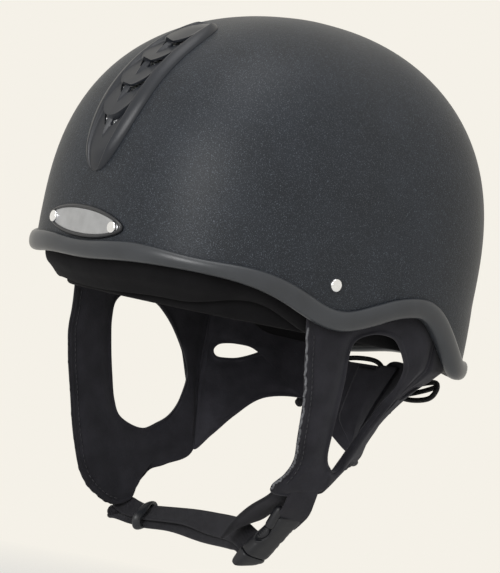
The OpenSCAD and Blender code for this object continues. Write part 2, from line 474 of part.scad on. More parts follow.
module buckle_plug() {
  color([0.06,0.06,0.065]) bframe() difference() {
    union() {
      translate([8.4,-11.5,-4]) cube([6,23,8]);
      translate([-10,-2.2,-2.2]) cube([18.5,4.4,4.4]);
      translate([14.3,-11.5,-3]) cube([4,3,6]);
      translate([14.3,8.5,-3]) cube([4,3,6]);
      translate([19.5,-11.5,0]) rotate([-90,0,0]) cylinder(d=4,h=23,$fn=24);
    }
    for(s=[-1,1]) translate([9.4,s*7.2,-10]) cylinder(d=3.2,h=20,$fn=24);
  }
}
// each squeeze tab: a sprung arm with a ribbed oval pad in the socket's side window
module tab(s) {
  color([0.08,0.08,0.085]) bframe() union() {
    translate([9.4,s*7.2,-2.2]) cylinder(d=2.8,h=4.4,$fn=24);
    translate([-2,s > 0 ? 6 : -8,-2]) cube([11.4,2,4]);
    intersection() {
      translate([-1.5,s*5.6,0]) rotate([-90*s,0,0]) cylinder(d=10,h=5.4,$fn=32);
      translate([-6.5,-13,-2.5]) cube([10.4,26,5]);
    }
    for(i=[-1,0,1]) translate([-1.5+2.4*i,s*11,-2]) cylinder(d=1.1,h=4,$fn=16);
  }
}
module left_tab() {
  tab(1);
}
module right_tab() {
  tab(-1);
}

outer_shell();
rim_trim();
impact_liner();
edge_roll();
crown_lining();
headband();
front_vent();
vent_mesh();
badge_bezel();
badge_plate();
badge_rivets();
left_rivet();
right_rivet();
left_anchor();
right_anchor();
left_cheek();
right_cheek();
left_piping();
right_piping();
left_wing();
right_wing();
lace_eyelets();
nape_lace();
lace_bow();
chin_guard();
left_strap();
chin_strap();
strap_tail();
strap_keeper();
buckle_socket();
buckle_plug();
left_tab();
right_tab();
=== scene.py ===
import math
import bpy
import numpy as np
from mathutils import Matrix, Vector


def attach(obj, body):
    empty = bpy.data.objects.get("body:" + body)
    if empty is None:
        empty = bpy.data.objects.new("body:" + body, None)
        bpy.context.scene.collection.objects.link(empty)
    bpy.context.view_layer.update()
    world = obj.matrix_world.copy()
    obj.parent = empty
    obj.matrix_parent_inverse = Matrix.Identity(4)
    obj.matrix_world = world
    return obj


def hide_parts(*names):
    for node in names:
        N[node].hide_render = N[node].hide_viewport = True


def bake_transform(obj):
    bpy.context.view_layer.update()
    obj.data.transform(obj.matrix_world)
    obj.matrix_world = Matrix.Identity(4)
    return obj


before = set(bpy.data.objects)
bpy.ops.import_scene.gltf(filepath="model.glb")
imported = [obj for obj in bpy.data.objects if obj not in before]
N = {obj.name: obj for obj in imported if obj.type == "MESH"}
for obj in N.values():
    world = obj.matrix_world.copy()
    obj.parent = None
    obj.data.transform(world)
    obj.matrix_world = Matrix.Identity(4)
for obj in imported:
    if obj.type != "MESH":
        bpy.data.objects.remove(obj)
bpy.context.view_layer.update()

bpy.context.scene.view_settings.view_transform = "Standard"

# ---------------------------------------------------------------- camera
# found by fitting the outline, edging, plate and rivets: degrees, then mm, then pixels
AZ, EL, ROLL = np.radians([51.361, 0.3005, 11.5406])
CAM_SIDE, CAM_UP, CAM_AWAY = -9.4512, -21.8418, 1852.586
FOCAL_PX, PHOTO_HEIGHT_PX, SENSOR = 2992.737, 573, 36
back = np.array([math.sin(AZ) * math.cos(EL), -math.cos(AZ) * math.cos(EL), math.sin(EL)])
right = np.array([math.cos(AZ), math.sin(AZ), 0.0])
up = np.cross(back, right)
r2 = math.cos(ROLL) * right + math.sin(ROLL) * up
u2 = -math.sin(ROLL) * right + math.cos(ROLL) * up
cam_pos = (right * CAM_SIDE + np.array([0, 0, CAM_UP]) + back * CAM_AWAY) * 0.001
cam_data = bpy.data.cameras.new("camera")
cam = bpy.data.objects.new("camera", cam_data)
bpy.context.scene.collection.objects.link(cam)
cam_data.lens = FOCAL_PX / PHOTO_HEIGHT_PX * SENSOR
cam_data.sensor_width = SENSOR
cam_data.clip_start = 0.05
cam_data.clip_end = 60
M = Matrix.Identity(4)
for i in range(3):
    M[i][0], M[i][1], M[i][2], M[i][3] = r2[i], u2[i], back[i], cam_pos[i]
cam.matrix_world = M
bpy.context.scene.camera = cam


# ---------------------------------------------------------------- shape functions, in mm
def ss(v):
    c = np.clip(v, 0, 1)
    return c * c * (3 - 2 * c)


def mix(a, b, t):
    return a + (b - a) * t


def spw(v, e):
    return np.sign(v) * np.abs(v) ** e


# half width, front and rear reach and crown height of the shell; its run below the rim; how square it is
SW, SF, SR, CH, LOW, PN = 112.0, 145.0, 121.0, 146.0, 230.0, 2.67
SIDE_E, CROWN_E = 0.98, 0.77


def psi(phi):
    """degrees away from the front, the same on both sides"""
    return np.abs(((phi + 270) % 360) - 180)


def bump(x, w):
    return np.exp(-(x / w) ** 2)


def rim_z(phi):
    """height of the wavy edge all round"""
    p = psi(phi)
    front = -18.8 - 5 * bump(p, 22) - 6 * bump(phi - 236, 18)
    return front - 17.5 * bump(p - 77.5, 15.5) - 33.5 * ss((p - 103) / 29) + 8 * ss((p - 148) / 32)


def rim_k(phi):
    """how much longer a section gets where the edge slopes"""
    return np.sqrt(1 + ((rim_z(phi + 1) - rim_z(phi - 1)) / 4.2) ** 2)


def dome(phi, th, d):
    """a point d mm inside the shell's face, by degrees round and up; the rear flares a little at the edge"""
    phi, th, d = np.broadcast_arrays(np.asarray(phi, float), np.asarray(th, float), np.asarray(d, float))
    cp, sp = np.cos(np.radians(phi)), np.sin(np.radians(phi))
    c = np.abs(np.cos(np.radians(th))) ** SIDE_E
    r = (np.abs(cp) ** PN + np.abs(sp) ** PN) ** (-1 / PN)
    b = np.where(sp < 0, SF, SR) - d
    s = np.sin(np.radians(th))
    z = np.where(th >= 0, (CH - d) * np.abs(s) ** CROWN_E, LOW * s)
    out_ = 3.3 * ss((psi(phi) - 108) / 26) * np.clip((-6 - z) / 42, 0, 1)
    return np.stack([((SW - d) * c * r + out_) * cp, (b * c * r + out_) * sp, z], -1)


def th_at(z, d):
    z, d = np.broadcast_arrays(np.asarray(z, float), np.asarray(d, float))
    below = -np.degrees(np.arcsin(np.clip(-z / LOW, 0, 1)))
    above = np.degrees(np.arcsin(np.clip(np.maximum(z, 0) / (CH - d), 0, 1) ** (1 / CROWN_E)))
    return np.where(z < 0, below, above)


def dome_z(phi, z, d):
    return dome(phi, th_at(z, d), d)


def front_pt(x, z, d):
    x, z, d = np.broadcast_arrays(np.asarray(x, float), np.asarray(z, float), np.asarray(d, float))
    c = np.cos(np.radians(th_at(z, d))) ** SIDE_E
    y = -(SF - d) * c * (1 - (np.abs(x) / ((SW - d) * c)) ** PN) ** (1 / PN)
    return np.stack([x, y, z], -1)


def cr(a, b, c, d, t):
    bend, twist = 2 * a - 5 * b + 4 * c - d, 3 * b - 3 * c + d - a
    return 0.5 * (2 * b + (c - a) * t + bend * t * t + twist * t ** 3)


def loop_pt(L, u):
    L = np.asarray(L, float)
    n = len(L)
    s = (np.asarray(u) % 1.0) * n
    i = np.floor(s).astype(int) % n
    t = (s - np.floor(s))[:, None]
    return cr(L[(i - 1) % n], L[i], L[(i + 1) % n], L[(i + 2) % n], t)


def path_pt(L, u):
    L = np.asarray(L, float)
    n = len(L) - 1
    s = np.minimum(np.asarray(u, float) * n, n - 1e-6)
    i = np.floor(s).astype(int)
    t = (s - i)[:, None]
    E = np.vstack([2 * L[0] - L[1], L, 2 * L[n] - L[n - 1]])
    return cr(E[i], E[i + 1], E[i + 2], E[i + 3], t)


def unit(v):
    return v / np.maximum(np.linalg.norm(v, axis=-1, keepdims=True), 1e-9)


# a smooth, repeatable unevenness
rng = np.random.RandomState(7)
WAVE_F = [0.05, 0.06, 0.08, 0.1, 0.13, 0.16, 0.2, 0.26]
WAVES = [(rng.normal(size=3) * f, rng.uniform(0, 6.28), 1.0 / (1 + 0.5 * k)) for k, f in enumerate(WAVE_F)]


def uneven(P, scale=1.0):
    s = 0
    for d, p, a in WAVES:
        s = s + a * np.sin(P @ d * scale + p + 1.5 * np.sin(P @ d[[1, 2, 0]] * scale * 0.7))
    return s / 3.2


# ---------------------------------------------------------------- meshes
def new_mesh(name, V, F, mat=None, uv=None, smooth=True):
    me = bpy.data.meshes.new(name)
    me.from_pydata([tuple(v) for v in np.asarray(V) * 0.001], [], [tuple(int(x) for x in f) for f in F])
    me.update()
    if smooth:
        me.polygons.foreach_set("use_smooth", [True] * len(me.polygons))
    if uv is not None:
        lay = me.uv_layers.new(name="UVMap")
        idx = np.zeros(len(me.loops), int)
        me.loops.foreach_get("vertex_index", idx)
        lay.data.foreach_set("uv", np.asarray(uv, float)[idx].ravel())
    o = bpy.data.objects.new(name, me)
    bpy.context.scene.collection.objects.link(o)
    if mat:
        me.materials.append(mat)
    return o


def quads(n, m, close_n=False, close_m=False, off=0):
    F = []
    for i in range(n if close_n else n - 1):
        for j in range(m if close_m else m - 1):
            a, b = i * m + j, i * m + (j + 1) % m
            c, d = ((i + 1) % n) * m + (j + 1) % m, ((i + 1) % n) * m + j
            F.append((off + a, off + b, off + c, off + d))
    return F


def orient(V, F):
    V = np.asarray(V)
    T = np.array([[f[0], f[1], f[2]] for f in F] + [[f[0], f[2], f[3]] for f in F if len(f) == 4])
    vol = np.einsum("ij,ij->i", V[T[:, 0]], np.cross(V[T[:, 1]], V[T[:, 2]])).sum()
    return [tuple(reversed(f)) for f in F] if vol < 0 else F


def loft_parts(R, closed=False):
    """points and faces through R, which is rings x points x 3; each ring is a closed section"""
    R = np.asarray(R, float)
    n, m = R.shape[:2]
    V = list(R.reshape(-1, 3))
    F = quads(n, m, closed, True)
    if not closed:
        for k in (0, n - 1):
            V.append(R[k].mean(0))
            c = len(V) - 1
            for j in range(m):
                a, b = k * m + j, k * m + (j + 1) % m
                F.append((c, b, a) if k == 0 else (c, a, b))
    return np.array(V), orient(V, F)


def loft(name, R, mat, closed=False, uv=None):
    return new_mesh(name, *loft_parts(R, closed), mat, uv)


def join(name, parts, mat):
    V, F, k = [], [], 0
    for v, f in parts:
        V.append(v)
        F += [tuple(x + k for x in q) for q in f]
        k += len(v)
    return new_mesh(name, np.vstack(V), F, mat)


def frames(P, closed=False):
    if closed:
        G = np.roll(P, -1, 0) - np.roll(P, 1, 0)
    else:
        G = np.gradient(P, axis=0)
    G = unit(G)
    S = np.cross(G, np.where(np.abs(G[:, 2:3]) < 0.9, [[0, 0, 1]], [[1, 0, 0]]))
    S = unit(S)
    return G, S, np.cross(S, G)


def tube_parts(P, r, m=8, closed=False):
    P = np.asarray(P, float)
    G, S, T = frames(P, closed)
    r = np.broadcast_to(np.asarray(r, float), (len(P),))[:, None, None]
    a = np.arange(m) * 2 * np.pi / m
    R = P[:, None] + r * (np.cos(a)[None, :, None] * S[:, None] + np.sin(a)[None, :, None] * T[:, None])
    V = R.reshape(-1, 3)
    F = quads(len(P), m, closed, True)
    if not closed:
        V = np.vstack([V, P[0], P[-1]])
        for j in range(m):
            F.append((len(V) - 2, (j + 1) % m, j))
            F.append((len(V) - 1, (len(P) - 1) * m + j, (len(P) - 1) * m + (j + 1) % m))
    return V, orient(V, F)


def resample(P, step, closed=False):
    P = np.asarray(P, float)
    Q = np.vstack([P, P[:1]]) if closed else P
    L = np.concatenate([[0], np.cumsum(np.linalg.norm(np.diff(Q, axis=0), axis=1))])
    n = max(2, int(round(L[-1] / step)))
    t = np.linspace(0, L[-1], n + 1)
    if closed:
        t = t[:-1]
    return np.stack([np.interp(t, L, Q[:, k]) for k in range(3)], -1)


def stitches(name, P, N_, mat, pitch=3.4, length=2.3, r=0.32, lift=0.12):
    """short thread stitches that lie on a seam line P with surface normals N_"""
    P, N_ = np.asarray(P, float), np.asarray(N_, float)
    Q = resample(P, pitch)
    parts = []
    L = np.concatenate([[0], np.cumsum(np.linalg.norm(np.diff(P, axis=0), axis=1))])
    t = np.linspace(0, L[-1], len(Q))
    NN = unit(np.stack([np.interp(t, L, N_[:, k]) for k in range(3)], -1))
    G = unit(np.gradient(Q, axis=0))
    for q, g, n_ in zip(Q, G, NN):
        s = np.linspace(-1, 1, 5)
        path = q + g * (s[:, None] * length / 2) + n_ * (lift * (1 - s[:, None] ** 2) + lift * 0.2)
        parts.append(tube_parts(path, r * np.array([0.5, 0.95, 1, 0.95, 0.5]), 5))
    return join(name, parts, mat)


# ---------------------------------------------------------------- materials
def shader(nt, kind, inputs, out=0, **settings):
    """a node whose inputs are values or outputs of other nodes; gives one of its own outputs"""
    n = nt.nodes.new("ShaderNode" + kind)
    for key, value in settings.items():
        setattr(n, key, value)
    for key, value in inputs.items():
        if isinstance(value, bpy.types.NodeSocket):
            nt.links.new(value, n.inputs[key])
        else:
            n.inputs[key].default_value = value
    return n.outputs[out]


def mat(name, base, rough=0.5, metal=0.0, spec=0.5, sheen=0.0, var=0.12, var_scale=40.0, speck=None,
        bumps=(), rough_var=0.0, weave=None):
    """uneven base colour with specks; a bump is (scale, mm, detail), a weave two pitches and a depth in mm"""
    m = bpy.data.materials.new(name)
    m.use_nodes = True
    nt = m.node_tree
    bs = nt.nodes["Principled BSDF"]
    values = {"Roughness": rough, "Metallic": metal, "Specular IOR Level": spec}
    if sheen:
        values |= {"Sheen Weight": sheen, "Sheen Roughness": 0.55, "Sheen Tint": (0.75, 0.75, 0.8, 1)}
    for key, value in values.items():
        bs.inputs[key].default_value = value
    coords = nt.nodes.new("ShaderNodeTexCoord").outputs["Object"]

    def noise(scale, detail=3.0, rough_=0.55):
        ins = {"Scale": scale, "Detail": detail, "Roughness": rough_, "Vector": coords}
        return shader(nt, "TexNoise", ins, "Fac")

    def mixed(a, b, src, lo, hi):
        ramp = shader(nt, "MapRange", {"From Min": lo, "From Max": hi, "Value": src}, "Result")
        return shader(nt, "Mix", {0: ramp, 6: a, 7: b}, 2, data_type="RGBA")

    def bumped(height, mm, under):
        ins = {"Strength": 1.0, "Distance": mm * 0.001, "Height": height}
        return shader(nt, "Bump", ins | ({"Normal": under} if under else {}), "Normal")

    low, high = [v * (1 - var) for v in base], [min(1, v * (1 + 2 * var)) for v in base]
    col = mixed((*low, 1), (*high, 1), noise(var_scale), 0.35, 0.68)
    if speck:
        scale, lo, hi, colour = speck
        col = mixed(col, (*colour, 1), noise(scale, 1.0, 0.4), lo, hi)
    nt.links.new(col, bs.inputs["Base Color"])
    if rough_var:
        ins = {"To Min": rough - rough_var, "To Max": rough + rough_var, "Value": noise(var_scale * 1.7)}
        nt.links.new(shader(nt, "MapRange", ins, "Result"), bs.inputs["Roughness"])
    normal = None
    for scale, mm, detail in bumps:
        normal = bumped(noise(scale, detail), mm, normal)
    if weave:
        pu, pv, depth = weave
        uv = shader(nt, "UVMap", {}, "UV", uv_map="UVMap")
        waves = []
        for axis, pitch in ((0, pu), (1, pv)):
            along = shader(nt, "SeparateXYZ", {"Vector": uv}, axis)
            turns = shader(nt, "Math", {0: along, 1: 2 * math.pi / pitch}, operation="MULTIPLY")
            waves.append(shader(nt, "Math", {0: turns}, operation="SINE"))
        normal = bumped(shader(nt, "Math", dict(enumerate(waves)), operation="MULTIPLY"), depth, normal)
    if normal:
        nt.links.new(normal, bs.inputs["Normal"])
    return m


SHELL = mat("shell_paint", [0.0150, 0.0178, 0.0225], 0.47, spec=0.25, var=0.1, var_scale=30,
            speck=(1900, 0.58, 0.72, [0.075, 0.085, 0.1]), bumps=[(900, 0.16, 2.0), (420, 0.10, 1.0)])
TRIM = mat("edging_rubber", [0.028, 0.031, 0.036], 0.36, var=0.08, bumps=[(260, 0.02, 2.0), (60, 0.05, 1.0)],
           rough_var=0.05)
FOAM = mat("bead_foam", [0.012, 0.012, 0.013], 0.8, spec=0.2, bumps=[(220, 0.5, 1.0)])
LINING = mat("lining_knit", [0.0062, 0.006, 0.0066], 0.9, spec=0.08, sheen=0.02,
             bumps=[(700, 0.2, 3.0), (90, 0.35, 2.0)])
NAP = dict(rough=0.92, spec=0.14, sheen=0.10, var=0.16, var_scale=70,
           bumps=[(1100, 0.16, 3.0), (130, 0.28, 2.0)])
SUEDE = mat("harness_suede", [0.0165, 0.0160, 0.0195], **NAP)
# the same suede as harness_suede with its base colour 1.7 times lighter: painted light that lifts the shaded
# inside faces of the right nape wing and the nape strip
SUEDE_PAINTED_LIGHTER = mat("harness_suede_painted_lighter", [0.0281, 0.0272, 0.0331], **NAP)
BINDING = mat("edge_binding", [0.013, 0.0128, 0.015], 0.85, spec=0.16, sheen=0.06, bumps=[(900, 0.15, 2.0)])
PIPE = mat("piping_braid", [0.105, 0.106, 0.112], 0.8, spec=0.2, var=0.3, var_scale=400,
           bumps=[(1300, 0.2, 2.0)])
THREAD = mat("seam_thread", [0.03, 0.03, 0.033], 0.7, spec=0.25, var=0.2, var_scale=300,
             bumps=[(2500, 0.1, 1.0)])
VENT = mat("vent_plastic", [0.017, 0.019, 0.024], 0.36, spec=0.34, var=0.06, bumps=[(700, 0.03, 2.0)],
           rough_var=0.04)
WIRE = mat("vent_wire", [0.75, 0.76, 0.78], 0.28, metal=1.0, var=0.08, var_scale=300,
           bumps=[(1500, 0.03, 1.0)])
BEZEL = mat("badge_surround", [0.02, 0.021, 0.024], 0.35, spec=0.5, bumps=[(500, 0.02, 2.0)])
PLATE = mat("badge_metal", [0.42, 0.43, 0.45], 0.38, metal=0.85, var=0.05, var_scale=120,
            bumps=[(900, 0.015, 3.0)],
            rough_var=0.06)
CHROME = mat("rivet_metal", [0.82, 0.83, 0.85], 0.16, metal=1.0, var=0.03, var_scale=200,
             bumps=[(300, 0.01, 2.0)])
WEB = mat("chin_webbing", [0.017, 0.0165, 0.0195], 0.82, spec=0.18, sheen=0.06, var=0.15, var_scale=200,
          weave=(1.3, 1.3, 0.22), bumps=[(1500, 0.08, 2.0)])
LACE = mat("lace_braid", [0.010, 0.0105, 0.0115], 0.75, spec=0.2, var=0.2, var_scale=500,
           bumps=[(1100, 0.25, 2.0)])
KEEP = mat("keeper_rubber", [0.017, 0.018, 0.021], 0.42, spec=0.45, bumps=[(500, 0.03, 2.0)])
BUCKLE = mat("buckle_plastic", [0.012, 0.0125, 0.015], 0.45, spec=0.36, bumps=[(900, 0.05, 2.0)],
             rough_var=0.04)
EYE = mat("eyelet_paint", [0.02, 0.02, 0.022], 0.4, spec=0.5, bumps=[(600, 0.02, 1.0)])
RIB = mat("webbing_tie", [0.012, 0.012, 0.013], 0.85, spec=0.15, bumps=[(900, 0.2, 2.0)])


def put(o, body, slot, *nodes):
    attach(o, body)
    if nodes:
        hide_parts(*nodes)
    return o


# ---------------------------------------------------------------- harness surface
# the harness hangs HUNG mm inside the shell's face; s is the side, t the degrees back from the ear line
HUNG = 7.4
HA = SW - HUNG


def hm(z):
    """0 at the edging, 1 at the chin"""
    return ss((-40 - z) / 75)


def top_k(z):
    return (1 - (np.minimum(0, np.maximum(z, -110)) / LOW) ** 2) ** 0.49


def hpt(s, t, z):
    t, z = np.broadcast_arrays(np.asarray(t, float), np.asarray(z, float))
    jaw = mix(HA * top_k(-40.0), 101.8, ss((-40 - z) / 20)) - 26 * ((-40 - z) / 135) ** 2
    a = np.where(z > -40, HA * top_k(z), jaw)
    h = hm(z)
    rear = mix((SR - HUNG) * top_k(z), 100, h)
    drawn = mix(PN, 1.5, h)
    if s > 0:
        drawn = np.where(z > -50, PN, 1.05 + (PN - 1.05) * np.exp(np.minimum(z + 50, 0) / 22))
    n = np.where(t > 0, drawn, mix(PN, 4.0, h))
    b = np.where(t > 0, rear, SF - HUNG)
    ct, st = np.cos(np.radians(t)), np.sin(np.radians(t))
    r = (np.abs(ct) ** n + np.abs(st) ** n) ** (-1 / n)
    return np.stack([s * a * ct * r, b * st * r, z], -1)


def hn(s, t, z):
    g = hpt(s, np.asarray(t) + 1, z) - hpt(s, np.asarray(t) - 1, z)
    return s * unit(np.stack([g[..., 1], -g[..., 0], 0 * g[..., 0]], -1))


def hs(s, t, z, off=0.0):
    return hpt(s, t, z) + np.asarray(off)[..., None] * hn(s, t, z)


def tuck(t):
    return [t, float(rim_z(np.array(t))) + 12]


SEAM_L, SEAM_R, NAPE_END = 30.0, 20.0, 89.6
L_IN = [[-3.9, -43], [-3.5, -64], [-3.2, -80], [-2.7, -97], [-1.8, -111], [0.5, -118], [5, -119.5],
        [10.5, -116],
        [15.5, -109], [19.8, -100.5], [23.5, -89], [25.4, -75], [22, -60.5], [17, -46], [11, -35.5], [2, -35]]
L_OUT = [tuck(-19), [-17, -54], [-14.6, -78], [-12.8, -102], [-11.6, -116], [-12.7, -125.5], [-15.2, -133.5],
         [-13.5, -138.5], [-5, -137.5], [4, -131], [13, -125], [22, -120.5], [SEAM_L - 0.2, -117.5],
         [SEAM_L, -94],
         [SEAM_L, -60], tuck(SEAM_L), tuck(8), tuck(-7)]
R_IN = [[-14.5, -47], [-15.3, -58], [-14.1, -75], [-12.5, -94], [-11, -110], [-8.5, -120], [-1.5, -125],
        [5, -119.5],
        [9.5, -113], [13.3, -102], [15.4, -86], [12.8, -73], [8.5, -62], [2.5, -50.5], [-3.5, -42.8],
        [-9.5, -39.2]]
R_OUT = [tuck(-30), [-29, -62], [-27, -84], [-24.7, -108], [-22.6, -138], [-19.5, -162], [-12, -174],
         [-5.2, -171],
         [-2.4, -160], [2.2, -150.5], [9, -145.2], [SEAM_R - 0.3, -133.3], [SEAM_R, -102], [SEAM_R, -70],
         tuck(SEAM_R), tuck(3), tuck(-14)]
SLIT = np.array([[4, -67.5], [5.5, -71], [9, -71], [13, -69.5], [17.5, -65.5], [19.4, -62.5], [17, -61.3],
                 [13, -61],
                 [9, -61.5], [5.5, -63.5]])
L_SLIT = SLIT + [SEAM_L, 0]
R_SLIT = SLIT + [SEAM_R, 0]
L_NAPE = [[SEAM_L - 0.5, -82], [SEAM_L - 0.5, -100], [SEAM_L - 0.3, -117.3], [45, -118], [60, -119],
          [75, -118.6],
          [NAPE_END, -114], [NAPE_END, -57], [76, -50], [60, -43], tuck(44), tuck(SEAM_L - 0.5)]
R_NAPE = [[SEAM_R - 0.5, -80], [SEAM_R - 0.5, -108], [SEAM_R - 0.3, -132.3], [27, -121.5], [36, -106],
          [47, -91], [63, -87],
          [78.5, -95], [84, -107], [NAPE_END, -114], [NAPE_END, -60], [76, -58.5], [60, -50], tuck(40),
          tuck(SEAM_R - 0.5)]

# how far in from the edge the rows of a padded piece lie
STEPS = np.array([0, 0.25, 0.7, 1.3, 2.0, 2.7, 3.1, 3.5, 4.4, 6.0, 8.5, 12.0])


def half_thick(s, t):
    """half the thickness s mm in from the edge: a sewn bead, then the pad, t mm thick in all"""
    bead = 1.55 * np.sqrt(np.clip(1 - ((s - 1.6) / 1.6) ** 2, 0, 1))
    bead = np.where(s > 1.6, np.maximum(bead, 1.0), bead)
    pad = 0.95 + (t / 2 - 0.95) * ss((s - 2.9) / 8)
    return np.where(s < 3.1, bead, pad)


def padded(name, s, I, O, n, t, lo, hi, folds, mat_=SUEDE, wrinkle=0.5):
    """a pad between the outlines I and O; a fold has two ends, a height and a width"""
    u = np.arange(n) / n
    A = loop_pt(I, u)
    B = loop_pt(O, u)
    B[:, 0] = np.clip(B[:, 0], lo, hi)
    B[:, 1] = np.minimum(B[:, 1], rim_z(B[:, 0]) + 12)
    PA, PB = hs(s, A[:, 0], A[:, 1]), hs(s, B[:, 0], B[:, 1])
    W = np.linalg.norm(PA - PB, axis=1)
    k = np.minimum(1, W / 2 / 12.001)
    cols = []
    for d in STEPS:
        cols.append((d * k) / W)
    a_end, b_start = cols[-1], 1 - cols[-1]
    for f in np.linspace(0, 1, 8)[1:-1]:
        cols.append(a_end + (b_start - a_end) * f)
    for d in STEPS[::-1]:
        cols.append(1 - (d * k) / W)
    w = np.stack(cols, 1)
    sd_a, sd_b = w * W[:, None], (1 - w) * W[:, None]
    T = A[:, None, 0] * (1 - w) + B[:, None, 0] * w
    Z = A[:, None, 1] * (1 - w) + B[:, None, 1] * w
    sd = np.minimum(sd_a, sd_b)
    h = half_thick(sd, t)
    thin = mix(1.0, 3.3 / 6.0, ss((Z - rim_z(T) + 8) / 12))
    h = h * thin
    P0 = hs(s, T, Z)
    wr = uneven(P0) * wrinkle * ss((sd - 2.5) / 8)
    for (t0, z0), (t1, z1), amp, wid in folds:
        q0, q1 = hs(s, np.array(t0), np.array(z0)), hs(s, np.array(t1), np.array(z1))
        g = q1 - q0
        f = np.clip(((P0 - q0) @ g) / (g ** 2).sum(), 0, 1)
        dd = np.linalg.norm(P0 - (q0 + f[..., None] * g), axis=-1)
        wr = wr + amp * np.exp(-(dd / wid) ** 2) * np.sin(np.pi * np.clip(f, 0.03, 0.97)) ** 0.5
    top = ss((rim_z(T) - 2 - Z) / 10)
    out = hs(s, T, Z, h + wr * top)
    inn = hs(s, T, Z, -h + wr * top * 0.8)
    R = np.concatenate([out, inn[:, ::-1][:, 1:-1]], axis=1)
    return loft(name, R, mat_, True)


PADS = [
    padded("cheek_pad_left", 1, L_IN, L_OUT, 260, 6.2, -60, SEAM_L,
           [((0, -122), (22, -117), 0.4, 3.0), ((-11, -118), (-4, -124), -0.5, 1.6),
            ((-13, -60), (-6, -112), -0.4, 4.0)]),
    padded("cheek_pad_right", -1, R_IN, R_OUT, 260, 6.2, -60, SEAM_R,
           [((15.5, -92), (11, -122), 0.9, 3.5), ((19, -78), (17, -118), -0.8, 3.0),
            ((-3, -128), (6, -136), -0.5, 2.5),
            ((-18, -140), (-6, -142), -0.35, 2.0)]),
    padded("nape_wing_left", 1, L_SLIT, L_NAPE, 240, 5.0, SEAM_L - 0.6, NAPE_END,
           [((36, -80), (38, -104), 0.6, 3.0), ((54, -74), (84, -80), -0.5, 3.0),
            ((50, -96), (86, -92), 0.6, 4.0),
            ((46, -108), (84, -106), -0.5, 3.5)]),
    # painted light: this wing uses the lightened copy of the suede to lift its shade
    padded("nape_wing_right", -1, R_SLIT, R_NAPE, 240, 5.0, SEAM_R - 0.6, NAPE_END,
           [((23, -84), (21, -118), 1.0, 3.5), ((28, -80), (34, -96), -0.8, 3.0),
            ((45, -72), (84, -74), 0.5, 3.0),
            ((48, -80), (84, -84), -0.5, 2.5)], SUEDE_PAINTED_LIGHTER)]
for o, n in zip(PADS, ("left_cheek", "right_cheek", "left_wing", "right_wing")):
    put(o, "helmet", "suede", n)


# the soft strip inside the laced gap of the nape
zz = np.linspace(0, 1, 30)


def nape_in(s_, t_, z_, d_):
    a1 = hpt(s_, t_ + 0.5, z_) - hpt(s_, t_ - 0.5, z_)
    a2 = hpt(s_, t_, z_ + 0.5) - hpt(s_, t_, z_ - 0.5)
    return hpt(s_, t_, z_) - d_ * s_ * unit(np.cross(a1, a2))


strip = []
for c_ in np.linspace(-1, 1, 23):
    s_ = -1.0 if c_ < 0 else 1.0
    z_ = mix(-55.5 - 4.5 * ss(0.5 - c_ * 2), -113.0, zz)
    t_ = np.minimum(89.5, 90 - abs(c_) * (90 - (79.5 + 9.5 * ss((-92 - z_) / 20))))
    side = [nape_in(s_, float(a1), float(b1), 3.0) for a1, b1 in zip(t_, z_)]
    strip.append(np.stack(side + [nape_in(s_, float(a1), float(b1), 4.4) for a1,
                                  b1 in zip(t_[::-1], z_[::-1])], 0))
# painted light: the strip uses the lightened copy of the suede against the shade inside the nape
put(loft("nape_lining_strip", np.stack(strip, 0), SUEDE_PAINTED_LIGHTER), "helmet", "suede")


# piping and seams
def edge_path(s, O, k0, k1, n, inset, off=0.0, wave=0.0, seed=0):
    """a line along the outline O from its point k0 to k1, inset and lifted off the surface by some mm"""
    u = np.linspace(k0, k1, n) / len(O)
    q = loop_pt(O, u)
    p = hs(s, q[:, 0], q[:, 1])
    g = unit(np.gradient(p, axis=0))
    e = hn(s, q[:, 0], q[:, 1])
    side = unit(np.cross(e, g)) * (1 if s > 0 else -1)
    w = wave * (np.sin(np.arange(n) * 0.9 + seed) * 0.6 + np.sin(np.arange(n) * 0.37 + 2 * seed) * 0.6)
    return p + side * (inset + w)[:, None] + e * off, e


P, E = edge_path(1, L_OUT, 0.55, 6.35, 160, 0.2, 0.9, 0.55, 1)
put(join("piping_left", [tube_parts(P, 0.75, 7)], PIPE), "helmet", "piping", "left_piping")
P, E = edge_path(-1, R_OUT, 0.55, 6.3, 170, 0.4, -0.4, 0.3, 2)
put(join("piping_right", [tube_parts(P, 0.8, 7)], BINDING), "helmet", "piping", "right_piping")
for nm, s, O, k0, k1, ins, off in (("stitch_right_front", -1, R_OUT, 0.7, 6.2, 4.2, -1.9),
                                   ("stitch_left_front", 1, L_OUT, 0.7, 5.2, 4.0, 2.1)):
    P, E = edge_path(s, O, k0, k1, 160, ins, off)
    put(stitches(nm, P, E * np.sign(off), THREAD), "helmet", "piping")

